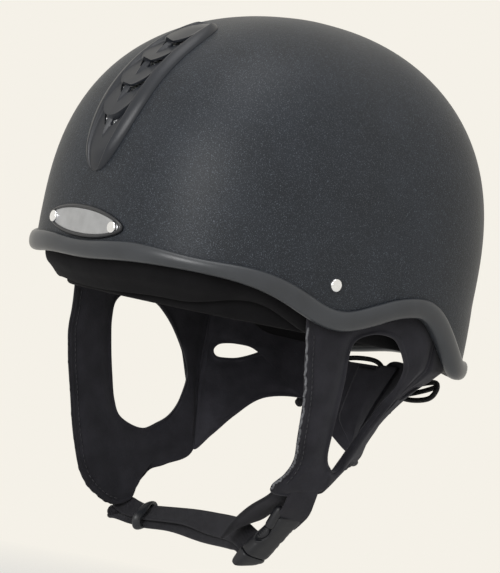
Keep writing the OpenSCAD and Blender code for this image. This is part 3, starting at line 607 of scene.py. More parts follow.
# ---------------------------------------------------------------- shell
def double_skin(name, low, rows, depths, window, mat_, puff=0.0):
    """two skins from the heights low up to the crown, at two depths inside the shell's face, with a window"""
    n = len(low)
    v0, v1, i0, i1 = window
    cut = lambda v, i: v0 <= v < v1 and i0 <= i < i1
    skins = []
    for d in depths:
        th = mix(th_at(low, d)[None, :], 90.0, (np.arange(rows) / rows)[:, None])
        skins.append(dome(np.broadcast_to(np.arange(n) * 360 / n, th.shape), th, d))
    A, B = skins
    if puff:
        B = B + (uneven(B.reshape(-1, 3)).reshape(B.shape[:2]) * puff)[..., None] * unit(B)
    V = np.vstack([A.reshape(-1, 3), dome(0, 90, depths[0])[None], B.reshape(-1, 3),
                   dome(0, 90, depths[1])[None]])
    q = n * rows
    k = q + 1
    F = []
    for v in range(rows - 1):
        for i in range(n):
            a, b, c, d = v * n + i, v * n + (i + 1) % n, (v + 1) * n + (i + 1) % n, (v + 1) * n + i
            if not cut(v, i):
                F += [(a, b, c, d), (k + d, k + c, k + b, k + a)]
                continue
            for (vv, ii), (s_, f_) in (((v - 1, i), (a, b)), ((v, (i + 1) % n), (b, c)), ((v + 1, i), (c, d)),
                                       ((v, i - 1), (d, a))):
                if not cut(vv, ii):
                    F.append((s_, f_, k + f_, k + s_))
    for i in range(n):
        j = (i + 1) % n
        a, b = q - n + i, q - n + j
        F += [(a, b, q), (k + a, k + q, k + b), (j, i, k + i, k + j)]
    return new_mesh(name, V, F, mat_)


ph = np.arange(240) * 360 / 240
shell = double_skin("shell_skin", rim_z(ph) + 3, 88, (0.0, 3.0), (32, 56, 176, 184), SHELL)
put(shell, "helmet", "shell", "outer_shell")

# ---------------------------------------------------------------- rubber edging, a U section
zt, kt = rim_z(ph), rim_k(ph) * (0.98 - 0.3 * bump(ph - 312, 14) - 0.13 * bump(psi(ph), 16))
PROF = [[-0.15, 11.2], [-0.5, 11.75], [-1.2, 11.9], [-2.2, 11.5], [-3.1, 10.5], [-3.75, 8.9], [-4.05, 6.9],
        [-4.05, 5.0], [-3.85, 3.2], [-3.3, 1.6], [-2.4, 0.45], [-1.2, -0.25], [0.4, -0.5], [2.0, -0.35],
        [3.4, 0.05],
        [4.5, 0.8], [5.1, 2.0], [5.3, 4.0], [5.3, 7.0], [4.9, 8.8], [4.2, 9.3], [3.5, 9.2], [3.2, 8.8],
        [3.2, 3.2],
        [3.0, 2.8], [0.1, 2.8], [-0.12, 3.2], [-0.12, 8.0]]
R = np.stack([dome_z(ph, zt + pz * kt, pd) for pd, pz in PROF], 1)
put(loft("edging", R, TRIM, True), "helmet", "edging", "rim_trim")

# ---------------------------------------------------------------- vent cover
# w runs up the cover from 0 to 1 and u across it from -1 to 1; each tile starts at an edge
EDGES = [0.222, 0.392, 0.556, 0.716]
VENT_LOW, VENT_HIGH = 6.4, 57.4
HALF_W = 21.0


def VW(v):
    """half the cover's width: a pointed leaf below, a full rounded end above"""
    v = np.clip(v, 0, 1)
    low = np.maximum(1e-4, np.sin(np.pi * np.minimum(v, 0.38) ** 0.72)) ** 0.62
    t = np.clip((v - 0.38) / 0.62, 0, 1)
    return HALF_W * low * (1 - 0.06 * t) * np.sqrt(np.clip(1 - t ** 3.4, 1e-4, 1))



def vent_surface(w, u, d):
    a = np.abs(u)
    cshift = 0.25 * np.minimum(a, 0.66) ** 2.5 * (1 - ss((a - 0.66) / 0.34))
    v = np.clip(w + cshift * ss(w / 0.2) * ss((1 - w) / 0.18), 0.001, 0.999)
    th = np.radians(mix(VENT_LOW, VENT_HIGH, v))
    x = u * VW(v)
    c = np.cos(th) ** SIDE_E
    y = -(SF - d) * c * (1 - (np.abs(x) / ((SW - d) * c)) ** PN) ** (1 / PN)
    return np.stack([x, y, (CH - d) * np.sin(th) ** CROWN_E], -1)


def vent_height(w, u):
    """mm above the shell: sunk tiles with raised lips and centre ridges inside a round bevel"""
    a = np.abs(u)
    ends = np.sqrt(np.clip(w / 0.07, 0, 1)) * np.sqrt(1 - (1 - np.clip((1 - w) / 0.15, 0, 1)) ** 2)
    bev = 4.3 * (1 - np.clip((a - 0.66) / 0.34, 0, 1) ** 1.7) ** 0.62
    T = np.zeros_like(w)
    T = np.where(w < EDGES[0], -1.3 * ss((w - 0.05) / 0.17), T)
    for k, e in enumerate(EDGES):
        nxt = EDGES[k + 1] if k + 1 < len(EDGES) else 1.02
        f = np.clip((w - e) / (nxt - e), 0, 1)
        drop = 2.5 if k + 1 < len(EDGES) else 1.2
        T = np.where(w >= e, 1.15 - drop * f ** 0.85, T)
    T = T + 0.9 * (1 - np.clip(a / 0.6, 0, 1) ** 2) * np.where(w < EDGES[0], 0.35, 1)
    ridge = np.zeros_like(w)
    for e in EDGES:
        r = (e - w) / 0.09
        ok = (r >= 0) & (r < 1)
        hw = 0.17 * np.clip(1 - r, 0, 1) ** 0.8 + 0.012
        ridge = np.where(ok, 2.5 * np.clip(1 - r, 0, 1) ** 0.7 * np.clip(1 - a / hw, 0, 1) ** 0.8, ridge)
    core = 3.0 + T + ridge
    b = ss((a - 0.55) / 0.12)
    return np.maximum(0.35, mix(core, bev, b) * ends)


wr = list(np.linspace(0, 1, 150))
for e in EDGES:
    wr += [e - 0.0012, e, e - 0.034, e - 0.026, e - 0.018, e - 0.010]
wr = np.array(sorted(wr))
wr = wr[np.concatenate([[True], np.diff(wr) > 0.0010])]
ur = np.concatenate([np.linspace(-1, 1, 61), [-0.985, 0.985, -0.955, 0.955]])
ur = np.array(sorted(set(np.round(ur, 4))))
Wg, Ug = np.meshgrid(wr, ur, indexing="ij")
H = vent_height(Wg, Ug)
Vt = vent_surface(Wg, Ug, -H)
Vb = vent_surface(Wg, Ug, -np.maximum(0.05, H - 1.4))
nw, nu_ = Wg.shape
wc, uc = (Wg[:-1, :-1] + Wg[1:, 1:]) / 2, np.abs(Ug[:-1, :-1] + Ug[1:, 1:]) / 2
slot = np.zeros(wc.shape, bool)
for e in EDGES:
    b = (e - wc) / 0.036
    slot |= (b > 0) & (uc > 0.13) & (uc < 0.52) & (b < 1 - np.clip((uc - 0.16) / 0.36, 0, 1) ** 1.1)
F = []
k = nw * nu_
for i in range(nw - 1):
    for j in range(nu_ - 1):
        a, b, c, d = i * nu_ + j, i * nu_ + j + 1, (i + 1) * nu_ + j + 1, (i + 1) * nu_ + j
        if not slot[i, j]:
            F += [(a, b, c, d), (k + d, k + c, k + b, k + a)]
            for cond, s_, f_ in ((i == 0 or slot[i - 1, j], a, b), (j == nu_ - 2 or slot[i, j + 1], b, c),
                                 (i == nw - 2 or slot[i + 1, j], c, d), (j == 0 or slot[i, j - 1], d, a)):
                if cond:
                    F.append((f_, s_, k + s_, k + f_))
V = np.vstack([Vt.reshape(-1, 3), Vb.reshape(-1, 3)])
vent = new_mesh("vent_cover", V, orient(V, F), VENT)
es = vent.modifiers.new("crease", "EDGE_SPLIT")
es.split_angle = math.radians(50)
put(vent, "helmet", "vent", "front_vent")

# woven wire under the slots
parts = []
for x in np.arange(-12, 12.1, 1.3):
    z = np.arange(48, 121, 1.1)
    dd = -0.35 - 0.25 * np.sin(np.pi * z / 1.5 + (round(x / 1.3) % 2) * np.pi)
    parts.append(tube_parts(front_pt(x + 0 * z, z, dd), 0.28, 4))
for z in np.arange(49, 121, 1.5):
    x = np.arange(-12.5, 12.6, 1.1)
    parts.append(tube_parts(front_pt(x, z + 0 * x, -0.35 + 0 * x), 0.28, 4))
put(join("vent_wire_mesh", parts, WIRE), "helmet", "mesh", "vent_mesh")


# ---------------------------------------------------------------- badge
def lens(a, w, h):
    x = w / 2 * spw(np.cos(a), 0.75)
    return x, h / 2 * spw(np.sin(a), 0.82) * (1 - 0.34 * (2 * x / w) ** 2)


a = np.linspace(0, 2 * np.pi, 97)[:-1]
PW, PH, PZ = 69.0, 14.6, -3.2
rings = []
for grow, d in ((0.0, -0.9), (0.1, -2.15), (0.7, -2.55), (1.5, -2.35), (2.2, -1.5), (2.5, -0.1), (0.2, -0.1)):
    x, z = lens(a, PW + 2 * grow, PH + 2 * grow)
    rings.append(front_pt(x, z + PZ, d))
put(loft("badge_surround", np.stack(rings, 1), BEZEL, True), "helmet", "bezel", "badge_bezel")
rings = []
for f, d in ((0.0, -2.15), (0.3, -2.14), (0.6, -2.1), (0.85, -2.04), (0.96, -1.98), (1.0, -1.75), (1.0, -0.3),
             (0.5, -0.3), (0.0, -0.3)):
    x, z = lens(a, PW * max(f, 0.001), PH * max(f, 0.001))
    rings.append(front_pt(x, z + PZ, d))
V = np.concatenate(rings)
F = orient(V, quads(len(rings), len(a), False, True))
put(new_mesh("badge_plate_bare", V, F, PLATE), "helmet", "badge", "badge_plate")


def dome_head(name, c, n, r, h):
    """a domed rivet head of radius r and height h at c, facing along n"""
    n = unit(np.asarray(n, float))
    s = unit(np.cross(n, [0, 0, 1]))
    t = np.cross(s, n)
    ang = np.arange(36) * 2 * np.pi / 36
    rings = []
    cap = [(math.cos(q_), h * (0.3 + 0.7 * math.sin(q_))) for q_ in np.radians([18, 32, 46, 60, 74, 85])]
    for f, z in [(0.9, -1.5), (1.0, -0.5), (1.0, 0.12 * h), (0.975, 0.3 * h)] + cap:
        rings.append(np.asarray(c) + n * z + r * f * (np.cos(ang)[:, None] * s + np.sin(ang)[:, None] * t))
    return loft(name, rings, CHROME)


for side, nm in ((-1, "badge_rivet_right"), (1, "badge_rivet_left")):
    c = front_pt(side * 29.9, -3.6, -2.2)
    o = dome_head(nm, c, [math.sin(math.radians(5.5)) * side, -1, 0], 3.6, 1.7)
    put(o, "helmet", "rivet", *(["badge_rivets"] if side < 0 else []))
for side, nm, node in ((1, "side_rivet_left", "left_rivet"), (-1, "side_rivet_right", "right_rivet")):
    p = dome_z(-15, -10.7, -0.1)
    tilt = math.radians(3)
    o = dome_head(nm, [side * p[0], p[1], p[2]], [side * math.cos(tilt), -math.sin(tilt), 0], 4.1, 2.6)
    put(o, "helmet", "rivet", node)

# ---------------------------------------------------------------- linings
# the roll lies between the depths ri and o_; f_ is 1 at the forehead, g_ lifts its lower side at the rear
nl = 180
phl = np.arange(nl) * 360 / nl
p_ = psi(phl)
zl = rim_z(phl) + 5.5 * bump(phl - 236, 18) + 2.2 * bump(p_, 26)
ri = 5.5 + 4.7 * ss((p_ - 40) / 12) * (1 - ss((p_ - 156) / 12))
o_ = 18.65
f_ = ss((62 - p_) / 26)
g_ = 9 * ss((p_ - 108) / 16)
kk = 4 * (rim_k(phl) - 1)
half = (ri + o_) / 2
zg = zl + g_
pts = [(ri, zl + 14.4 + kk), (ri, zl + 6 + kk * 0.5), (ri, zg - 2), (ri + 0.5, zg - 4.6 - 3 * f_),
       (ri + 2, zg - 6.2 - 5 * f_), (mix(ri + 2, half, 0.5), zg - 6.9 - 6.0 * f_),
       (half, zg - 7.2 - 8.2 * f_),
       (mix(half, o_ - 2, 0.6), zg - 7.0 - 12 * f_), (o_ - 2, zg - 6 - 13.2 * f_),
       (o_ - 0.5, zg - 4.4 - 12.4 * f_),
       (o_, zg - 2 - 10 * f_), (o_, zl + 6 + kk * 0.5), (o_, zl + 14.4 + kk)]
R = np.stack([dome_z(phl, z, d) for d, z in pts], 1)
ROUGH = np.array([0, 0, 0.2, 0.6, 1, 1, 1, 1, 1, 0.6, 0.2, 0, 0])
R[..., 2] += uneven(R.reshape(-1, 3), 1.4).reshape(R.shape[:2]) * 0.5 * ROUGH


def lining_ring(name, R, node):
    o = loft(name, R, LINING, True)
    sb = o.modifiers.new("smooth", "SUBSURF")
    sb.levels = sb.render_levels = 1
    put(o, "helmet", "lining", node)


lining_ring("edge_roll_pad", R, "edge_roll")

a_ = 19.3
b_ = a_ + 7.5
zb = -42 - 1.5 * ss((p_ - 110) / 40)
tb = 32 + 0.3 * (zl + 20)
pts = [(a_, tb), (a_ + 1.4, tb + 3), (a_ + 3.4, tb + 3.6), (b_ - 1, tb - 1), (b_ + 0.3, mix(zb, tb, 0.75)),
       (b_ + 0.3, mix(zb, tb, 0.5)), (b_ + 0.3, mix(zb, tb, 0.25)), (b_ - 0.4, zb + 6), (b_ - 2, zb + 1.4),
       (a_ + 3.4, zb - 0.4), (a_ + 1, zb + 1), (a_, zb + 5)]
R = np.stack([dome_z(phl, z, d + 0 * phl) for d, z in pts], 1)
lumps = uneven(R[:, 3:8].reshape(-1, 3), 1.2).reshape(nl, 5) * 0.4
R[:, 3:8] += lumps[..., None] * -unit(R[:, 3:8] * [1, 1, 0])
lining_ring("headband_pad", R, "headband")
crown = double_skin("crown_cloth", 44 + 0.35 * (zl + 20), 24, (19.6, 22.4), (8, 16, 131, 139), LINING, 0.5)
put(crown, "helmet", "lining", "crown_lining")


# ---------------------------------------------------------------- bands of webbing
def strip_frame(L, V_, u):
    """points of the path L with the directions across the strip and out of it"""
    P = path_pt(L, u)
    G = unit(path_pt(L, np.minimum(1, u + 0.01)) - path_pt(L, np.maximum(0, u - 0.01)))
    v0 = path_pt(V_, u)
    v = unit(v0 - (v0 * G).sum(1, keepdims=True) * G)
    return P, v, np.cross(G, v)


def band(name, L, V_, w, t, n, mat_, pad=False, m=15):
    """a strip along L, t thick, with its width along V_; w is one width, or widths spread along it"""
    u = np.linspace(0, 1, n + 1)
    wide = np.interp(u, np.linspace(0, 1, np.size(w)), np.atleast_1d(w)) / np.max(w)
    w = float(np.max(w))
    P, v, o = strip_frame(L, V_, u)
    y = np.sin(np.linspace(-np.pi / 2, np.pi / 2, m)) * 0.5
    edge = np.sqrt(np.clip(1 - np.clip((np.abs(y) * w - (w / 2 - t / 2)) / (t / 2), 0, 1) ** 2, 0, 1))
    hh = t / 2 * np.maximum(edge, 0.05)
    if pad:
        hh = t / 2 * (0.35 + 0.65 * np.cos(y * np.pi * 0.92) ** 0.5) * np.maximum(edge, 0.05)
    sec = [(y[i], -hh[i]) for i in range(m)] + [(y[i], hh[i]) for i in range(m - 1, -1, -1)]
    R = np.stack([P + v * (a1 * w * wide[:, None]) + o * b1 for a1, b1 in sec], 1)
    Ls = np.concatenate([[0], np.cumsum(np.linalg.norm(np.diff(P, axis=0), axis=1))])
    uv = [(Ls[i], (a1 + 0.5) * w) for i in range(n + 1) for a1, b1 in sec] + [(0, 0), (Ls[-1], 0)]
    return loft(name, R, mat_, False, uv)


def rot(a1, a2, a3):
    a1, a2, a3 = np.radians([a1, a2, a3])
    X = np.array([[1, 0, 0], [0, np.cos(a1), -np.sin(a1)], [0, np.sin(a1), np.cos(a1)]])
    Y = np.array([[np.cos(a2), 0, np.sin(a2)], [0, 1, 0], [-np.sin(a2), 0, np.cos(a2)]])
    Z = np.array([[np.cos(a3), -np.sin(a3), 0], [np.sin(a3), np.cos(a3), 0], [0, 0, 1]])
    return Z @ Y @ X


# the buckle's own frame: x along it towards the plug, y across it, z through it
RB = rot(-166.3, 54.28, -159.84)
BQ = np.array([63.3, -13.4, -171.35])


def place(P):
    return np.asarray(P) @ RB.T + BQ


# the guard ends at the buckle's place in the solids
BO = np.array([62, -15, -168.5])
GUARD = [[86, -14, -128], [80.2, -17.8, -139], BO + [7.5, -8, 20], BO + [-5.5, -8, 9.5], BO + [-17, -9, 1.5]]
GUARD_V = [[0, 1, 0], [0, 1, 0.1], [0, 1, 0.2], [0, 1, 0.3], [0, 0.8, 0.6]]
GUARD_W = 26
guard = band("chin_guard_pad", GUARD, GUARD_V, GUARD_W, 3.2, 90, SUEDE, True, 25)
put(guard, "chin_loop", "suede", "chin_guard")


def strip_edge(L, V_, w, side, inset, lift=0.0, n=120):
    """the line along one edge of a strip, with the strip's outward normals"""
    u = np.linspace(0, 1, n)
    P, v, o = strip_frame(L, V_, u)
    wide = np.interp(u, np.linspace(0, 1, np.size(w)), np.atleast_1d(w))[:, None]
    return P + v * side * (wide / 2 - inset) + o * lift, o


P, E = strip_edge(GUARD, GUARD_V, GUARD_W, -1, 0.3)
put(join("guard_piping", [tube_parts(P, 0.95, 8)], BINDING), "chin_loop", "suede")
STRAP = [[92.3, -12, -120], [91.2, -13.2, -131], [86, -11.5, -144], place([-24, 0.5, 1.5]),
         place([-19, 0.5, 1.5])]
STRAP_V = [[0, 1, 0], [0, 1, 0], [0, 1, -0.1], [-0.1, 1, -0.25], [-0.1, 1, -0.25]]
STRAP_W = [24, 22, 20.6, 19, 16.5]
strap = band("left_strap_web", STRAP, STRAP_V, STRAP_W, 3.0, 80, SUEDE, True, 25)
put(strap, "chin_loop", "webbing", "left_strap")
for side in (-1, 1):
    P, E = strip_edge(STRAP, STRAP_V, STRAP_W, side, 2.2, -1.25)
    put(stitches("strap_stitch_" + ("front" if side < 0 else "rear"), P, -E, THREAD), "chin_loop", "webbing")
CHIN = [[-85.4, -16.9, -163.7], [-82.6, -15, -171.4], [-74.4, -12.9, -174.5], [-65.2, -11, -175.5],
        [-56.7, -9.6, -174.8],
        [-17.6, -9.4, -169.9], [11.2, -12.2, -168.9], [39.5, -16.5, -167.9], [55.5, -17.3, -171.5]]
CHIN_V = [[-0.68, 0.38, 0.62], [-0.68, 0.38, 0.62], [-0.7, 0.41, 0.58], [-0.75, 0.48, 0.46],
          [-0.77, 0.52, 0.37], [-0.77, 0.52, 0.38],
          [-0.72, 0.44, 0.54], [-0.67, 0.36, 0.65], [-0.66, 0.36, 0.66]]
chin = band("chin_web_upper", CHIN, CHIN_V, [15, 15, 15, 14.5, 14.5, 15, 16, 16, 16], 2.0, 110, WEB)
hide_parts("chin_strap")
TAIL = [[-80.1, -15.6, -180.8], [-67.7, -12.9, -179.7], [-56.2, -10.6, -178.7], [-29.9, -8.9, -175.4],
        [5.6, -11.5, -175.1], [39.9, -15.9, -173.2], [55, -16.4, -176.4]]
TAIL_V = [[-0.78, 0.58, 0.2], [-0.76, 0.5, 0.42], [-0.71, 0.41, 0.58], [-0.69, 0.39, 0.61], [-0.7, 0.4, 0.6],
          [-0.7, 0.4, 0.59],
          [-0.73, 0.45, 0.51]]
# the free end is rolled on itself
ROLL_C = np.array([-86.0, -16.7, -179.6])
ALONG, ACROSS, UPWARD = np.array([0.611, 0.766, 0.2]), np.array([-0.78, 0.62,
                                                                 0.02]), np.array([-0.13, -0.15, 0.98])
ROLL = zip((0.5, 0.8, 1.2, 1.6, 1.9, 2.2, 2.4, 2.5, 2.5),
           np.radians([-190, -130, -70, -10, 50, 110, 165, 215, 262]))
roll_p = [list(ROLL_C + r1 * (ALONG * math.cos(a1) + UPWARD * math.sin(a1))) for r1, a1 in ROLL]
TAIL = roll_p + TAIL
TAIL_V = [list(ACROSS)] * len(roll_p) + TAIL_V
TAIL_W = [11] * len(roll_p) + [13, 14.5, 14.5, 15, 15, 15, 14]
tail = band("chin_web_lower", TAIL, TAIL_V, TAIL_W, 1.8, 150, WEB)
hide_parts("strap_tail")
core_v = unit(ACROSS) * 5.3
core_c = ROLL_C + ALONG * 1.2
core = [tube_parts(np.linspace(core_c - core_v, core_c + core_v, 24), 2.7, 20)]
put(join("chin_web_rolled_end", core, WEB), "chin_loop", "webbing")
for o in (chin, tail):
    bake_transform(o)


# keeper ring: a tilted rubber loop round both layers of webbing
KO = np.array([-57.8, -10.6, -176.8])
ang = np.arange(72) * 2 * np.pi / 72
kv, ko = np.array([-0.767, 0.511, 0.387]), np.array([0.194, -0.39, 0.9])
loop_ = KO + kv * 10.2 * spw(np.cos(ang), 0.7)[:, None] + ko * 5.6 * spw(np.sin(ang), 0.75)[:, None]
loop_ = loop_ + ALONG * (5.2 * np.cos(ang) - 1.2)[:, None]
Tk = unit(np.roll(loop_, -1, 0) - np.roll(loop_, 1, 0))
Ok = unit(loop_ - KO - ALONG * ((loop_ - KO) @ ALONG)[:, None])
Ok = unit(Ok - Tk * (Ok * Tk).sum(1)[:, None])
Bk = np.cross(Tk, Ok)
rings = [loop_ + Ok * 1.35 * math.cos(b1) + Bk * 2.7 * math.sin(b1) for b1 in np.arange(16) * 2 * np.pi / 16]
put(loft("keeper_ring", np.stack(rings, 1), KEEP, True), "keeper", "keeper", "strap_keeper")

# ---------------------------------------------------------------- buckle
def superring(wy, hz, x, e, m=96):
    a1 = np.arange(m) * 2 * np.pi / m
    return np.stack([x + 0 * a1, wy * spw(np.cos(a1), e), hz * spw(np.sin(a1), e)], 1)


def shell_of_rings(rows, e=0.55):
    """rows of (x, half width, half height), lofted in the buckle's own frame"""
    return np.stack([superring(wy, hz, x, e) for x, wy, hz in rows], 0)


def smooth_rows(rows, step):
    rows = np.array(rows, float)
    L = np.concatenate([[0], np.cumsum(np.abs(np.diff(rows, axis=0)).sum(1))])
    t = np.arange(0, L[-1], step)
    return np.stack([np.interp(t, L, rows[:, k]) for k in range(3)], 1)


# the socket: a rounded, slightly waisted body, hollow from its mouth, with a sunk oval in each side
OUT = smooth_rows([(-25.3, 5.6, 1.6), (-25.1, 7.8, 2.9), (-24.2, 8.9, 3.8), (-20, 8.9, 4.4), (-15, 8.0, 4.6),
                   (-9, 7.9, 4.7),
                   (-4, 8.6, 4.8), (1, 9.6, 4.9), (6, 9.9, 4.8), (7.8, 9.7, 4.5), (8.3, 9.2, 4.1)], 0.4)
IN = smooth_rows([(8.3, 7.8, 3.1), (7.5, 7.3, 2.8), (-7, 6.4, 2.5), (-8.5, 5.6, 2.0)], 1.2)
Rr = np.concatenate([shell_of_rings(OUT), shell_of_rings(IN)], 0)
OVAL = ((Rr[..., 0] + 8.3) / 6.0) ** 2 + ((Rr[..., 2] - 0.3) / 3.5) ** 2
outer = np.arange(len(Rr))[:, None] < len(OUT)
sink = 1.3 * ss((1.2 - OVAL) / 0.3)
rim_ = 0.55 * np.exp(-((OVAL - 1.5) / 0.25) ** 2)
Rr[..., 1] -= np.where(outer & (np.abs(Rr[..., 1]) > 5), np.sign(Rr[..., 1]) * (sink - rim_), 0)
Rr[..., 0] -= 0.3 * Rr[..., 1] * ss((-11 - Rr[..., 0]) / 11)
put(loft("buckle_socket_body", place(Rr), BUCKLE), "chin_loop", "buckle", "buckle_socket")


def capsule(path, r, m=14):
    """a rounded bar along a local path"""
    Pth = resample(path_pt(np.array(path, float), np.linspace(0, 1, 24)), 0.6)
    n_ = len(Pth)
    end = np.minimum(np.arange(n_), np.arange(n_)[::-1]) * 0.6
    rr = r * np.sqrt(np.clip(1 - np.clip(1 - end / r, 0, 1) ** 2, 0.02, 1))
    return tube_parts(Pth, rr, m)


parts = [capsule([(-28.0, -9.6, -2.4), (-24, -10.2, -1.4), (-18, -9.9, 0.1), (-12.4, -8.8, 1.0)], 2.9),
         capsule([(-27.2, 7.2, -2.6), (-23, 8.0, -1.6), (-18, 8.0, -0.2), (-13, 7.4, 0.8)], 2.5)]
put(join("buckle_socket_rails", [(place(v), f) for v, f in parts], BUCKLE), "chin_loop", "buckle")

# the plug: a rounded base with its webbing bar, a tongue and two sprung arms
Rr = shell_of_rings(smooth_rows([(8.75, 9.0, 3.6), (9.0, 9.8, 4.3), (10.0, 10.1, 4.6), (12.5, 9.8, 4.3),
                                 (15, 9.2, 3.6),
                                 (16.6, 8.6, 2.8), (17.4, 7.6, 1.6)], 0.4))
Rr[..., 0] -= 0.34 * Rr[..., 1] * ss((Rr[..., 0] - 10) / 6)
put(loft("buckle_plug_base", place(Rr), BUCKLE), "plug", "buckle", "buckle_plug")
Rr = shell_of_rings(smooth_rows([(-7.5, 1.2, 1.0), (-6.5, 2.2, 1.9), (9.5, 2.2, 2.1)], 0.8))
put(loft("buckle_plug_tongue", place(Rr), BUCKLE), "plug", "buckle")
TAB_X, TAB_Z = -8.3, 0.3
for sy, nm, body in ((1, "left_tab", "rear_tab"), (-1, "right_tab", "front_tab")):
    parts = [capsule([(9.2, sy * 5.4, 0), (4, sy * 5.4, 0), (-4, sy * 5.2, 0.2), (-8.3, sy * 5.6, 0.3)], 1.1)]
    a1 = np.arange(48) * 2 * np.pi / 48
    rings_ = []
    for f, y in ((0.86, 5.6), (0.98, 6.2), (1.0, 7.6), (0.97, 8.6), (0.88, 9.2), (0.7, 9.55), (0.4, 9.7),
                 (0.05, 9.75)):
        rings_.append(np.stack([TAB_X + 5.2 * f * np.cos(a1), sy * y + 0 * a1, TAB_Z + 2.75 * f * np.sin(a1)],
                               1))
    parts.append(loft_parts(rings_))
    for k_ in (-3.3, -1.7, 0, 1.7, 3.3):
        hz = 2.1 * math.sqrt(1 - (k_ / 5.0) ** 2)
        x = TAB_X + k_
        rib = [(x, sy * 9.3, TAB_Z - hz), (x, sy * 9.75, TAB_Z), (x, sy * 9.3, TAB_Z + hz)]
        parts.append(capsule(rib, 0.45, 8))
    put(join("buckle_" + nm, [(place(v), f) for v, f in parts], BUCKLE), body, "buckle", nm)

# ---------------------------------------------------------------- CAD nodes that stay
for n, m_ in (("impact_liner", FOAM), ("left_anchor", RIB), ("right_anchor", RIB), ("lace_eyelets", EYE)):
    o = N[n]
    o.data.materials.clear()
    o.data.materials.append(m_)
    o.data.polygons.foreach_set("use_smooth", [True] * len(o.data.polygons))
    w_ = o.modifiers.new("weld", "WELD")
    w_.merge_threshold = 0.00002
    es = o.modifiers.new("crease", "EDGE_SPLIT")
    es.split_angle = math.radians(40)

# ---------------------------------------------------------------- lace
# points behind the nape: x, mm behind the harness surface, z
NAPE_Y = float(hpt(1, 90.0, -72.0)[1])
bk = lambda x, y, z: (x, NAPE_Y + y, z)


def cord(name, pts, d, node=None):
    P = path_pt(np.array(pts, float), np.linspace(0, 1, 41))
    cu = bpy.data.curves.new(name, "CURVE")
    cu.dimensions = "3D"
    cu.bevel_depth = d / 2 * 0.001
    cu.bevel_resolution = 4
    cu.use_fill_caps = True
    sp = cu.splines.new("POLY")
    sp.points.add(len(P) - 1)
    for k_, p in enumerate(P):
        sp.points[k_].co = (*(p * 0.001), 1)
    o = bpy.data.objects.new(name, cu)
    bpy.context.scene.collection.objects.link(o)
    cu.materials.append(LACE)
    put(o, "helmet", "lace", *([node] if node else []))


def eye(s, k):
    """where a lace leaves one of the two eyelets of a wing"""
    t, z = 78.0, (-64.0, -80.0)[k]
    a1 = hpt(s, t + 1, z) - hpt(s, t - 1, z)
    a2 = hpt(s, t, z + 1) - hpt(s, t, z - 1)
    return hpt(s, t, z) + 5.9 * s * unit(np.cross(a1, a2))


cord("lace_cross_a", [eye(-1, 0), bk(-7, 5.4, -67), bk(5, 7, -75), eye(1, 1)], 3.2,
     "nape_lace")
cord("lace_cross_b", [eye(1, 0), bk(6, 9.2, -67), bk(-5, 10.6, -75), eye(-1, 1)], 3.2)
cord("lace_loop_left",
     [bk(2, 15.2, -71), bk(14, 16.5, -65), bk(29, 17, -59.8), bk(41, 14, -58.6), bk(46.5, 10, -63),
      bk(40, 11, -69),
      bk(22, 14.5, -72.5), bk(2, 18.6, -73)], 3.4, "lace_bow")
cord("lace_end_left",
     [bk(2, 18.4, -72.5), bk(16, 18.5, -68.5), bk(30, 16.6, -64.5), bk(41.5, 13.4, -61.2)], 3.2)
cord("lace_loop_right",
     [bk(-2, 15.2, -71), bk(-4, 9, -62), bk(-3, 5.5, -56.5), bk(-8, 4.4, -53.4), bk(-16, 3, -52.9),
      bk(-27, -0.5, -54.4), bk(-36, -3.5, -58), bk(-34, 1.5, -64), bk(-20, 8.5, -68), bk(-2, 18.6, -74)],
     3.2)
LACE_END = [bk(0, 18, -76), bk(-12, 13, -83), bk(-32, 1, -88.5), bk(-50.5, -13, -88.5)]
cord("lace_tail", LACE_END, 3.2)


def ball(name, c, r):
    """a lumpy knot"""
    a1 = np.arange(24) * 2 * np.pi / 24
    t = np.linspace(0, np.pi, 14)[1:-1, None]
    R = r * np.stack([np.sin(t) * np.cos(a1), np.sin(t) * np.sin(a1), np.cos(t) + 0 * a1], -1)
    lumps = 1 + 0.07 * np.sin(R[..., 0] * 2.2 + R[..., 2] * 1.7)
    return loft(name, R * lumps[..., None] + np.array(c), LACE)


put(ball("lace_bow_knot", bk(0, 17.2, -72), 4.7), "helmet", "lace")
put(ball("lace_tail_knot", np.array(LACE_END[3]) + [-2, -2, -1], 3.1), "helmet", "lace")

# ---------------------------------------------------------------- floor, backdrop, light
BG = (0.913, 0.880, 0.807, 1.0)
FLOOR_Z = -0.262


def seen_directly(nt):
    """1 where the camera, a mirror or glass looks, 0 for light on its way to the object"""
    rays = nt.nodes.new("ShaderNodeLightPath").outputs
    either = shader(nt, "Math", {0: rays["Is Camera Ray"], 1: rays["Is Glossy Ray"]}, operation="MAXIMUM")
    return shader(nt, "Math", {0: either, 1: rays["Is Transmission Ray"]}, operation="MAXIMUM")


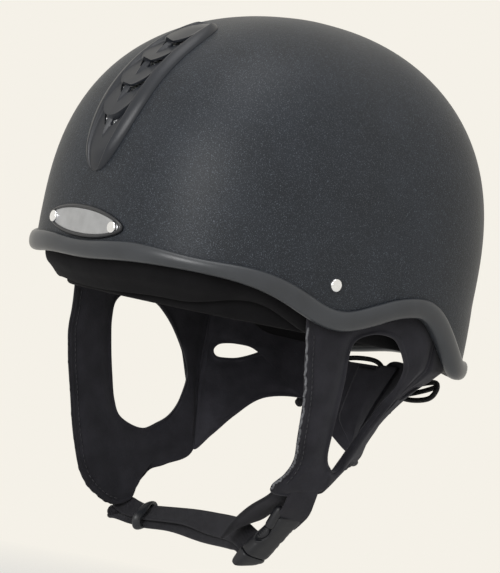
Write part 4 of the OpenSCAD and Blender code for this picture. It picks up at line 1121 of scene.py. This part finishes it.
st = bpy.data.materials.new("studio_sweep")
st.use_nodes = True
nt = st.node_tree
for n in list(nt.nodes):
    nt.nodes.remove(n)
out = nt.nodes.new("ShaderNodeOutputMaterial")
coords = nt.nodes.new("ShaderNodeTexCoord").outputs["Object"]
away = shader(nt, "VectorMath", {0: coords}, "Value", operation="LENGTH")
fade = shader(nt, "MapRange", {"From Min": 0.30, "From Max": 0.56, "Value": away}, "Result")
blend = {0: shader(nt, "Math", {0: seen_directly(nt), 1: fade}, operation="MULTIPLY"),
         1: shader(nt, "BsdfDiffuse", {"Color": BG}), 2: shader(nt, "Emission", {"Color": BG})}
nt.links.new(shader(nt, "MixShader", blend), out.inputs["Surface"])
ang = np.arange(96) * 2 * np.pi / 96
RADII = (250, 600, 1500, 4000)
V = [(0, 0, 0)]
for r in RADII:
    V += [(r * math.cos(q_), r * math.sin(q_), 0) for q_ in ang]
F = [(0, 1 + i, 1 + (i + 1) % 96) for i in range(96)]
for k_ in range(len(RADII) - 1):
    for i in range(96):
        a2, b2 = 1 + k_ * 96 + i, 1 + k_ * 96 + (i + 1) % 96
        F.append((a2, a2 + 96, b2 + 96, b2))
floor = new_mesh("studio_floor", V, F, st)
floor.location = (0, 0, FLOOR_Z)

w = bpy.data.worlds.new("studio")
bpy.context.scene.world = w
w.use_nodes = True
nt = w.node_tree
bgn = nt.nodes["Background"]
seen = seen_directly(nt)
tint = shader(nt, "Mix", {0: seen, 6: (0.86, 0.89, 0.95, 1), 7: BG}, 2, data_type="RGBA")
nt.links.new(tint, bgn.inputs["Color"])
strength = shader(nt, "MapRange", {"To Min": 0.62, "To Max": 1.0, "Value": seen}, "Result")
nt.links.new(strength, bgn.inputs["Strength"])


def area(name, az, el, dist, size, power):
    """a round lamp that faces the middle of the helmet"""
    l = bpy.data.lights.new(name, "AREA")
    l.shape = "DISK"
    l.size = size
    l.energy = power
    o = bpy.data.objects.new(name, l)
    bpy.context.scene.collection.objects.link(o)
    a1, e1 = math.radians(az), math.radians(el)
    b = Vector((math.sin(a1) * math.cos(e1), -math.cos(a1) * math.cos(e1), math.sin(e1)))
    o.location = b * dist
    o.rotation_mode = "QUATERNION"
    o.rotation_quaternion = b.to_track_quat("Z", "Y")


area("key", 28, 16, 2.2, 1.1, 26)
area("top", 30, 75, 2.0, 1.4, 12)
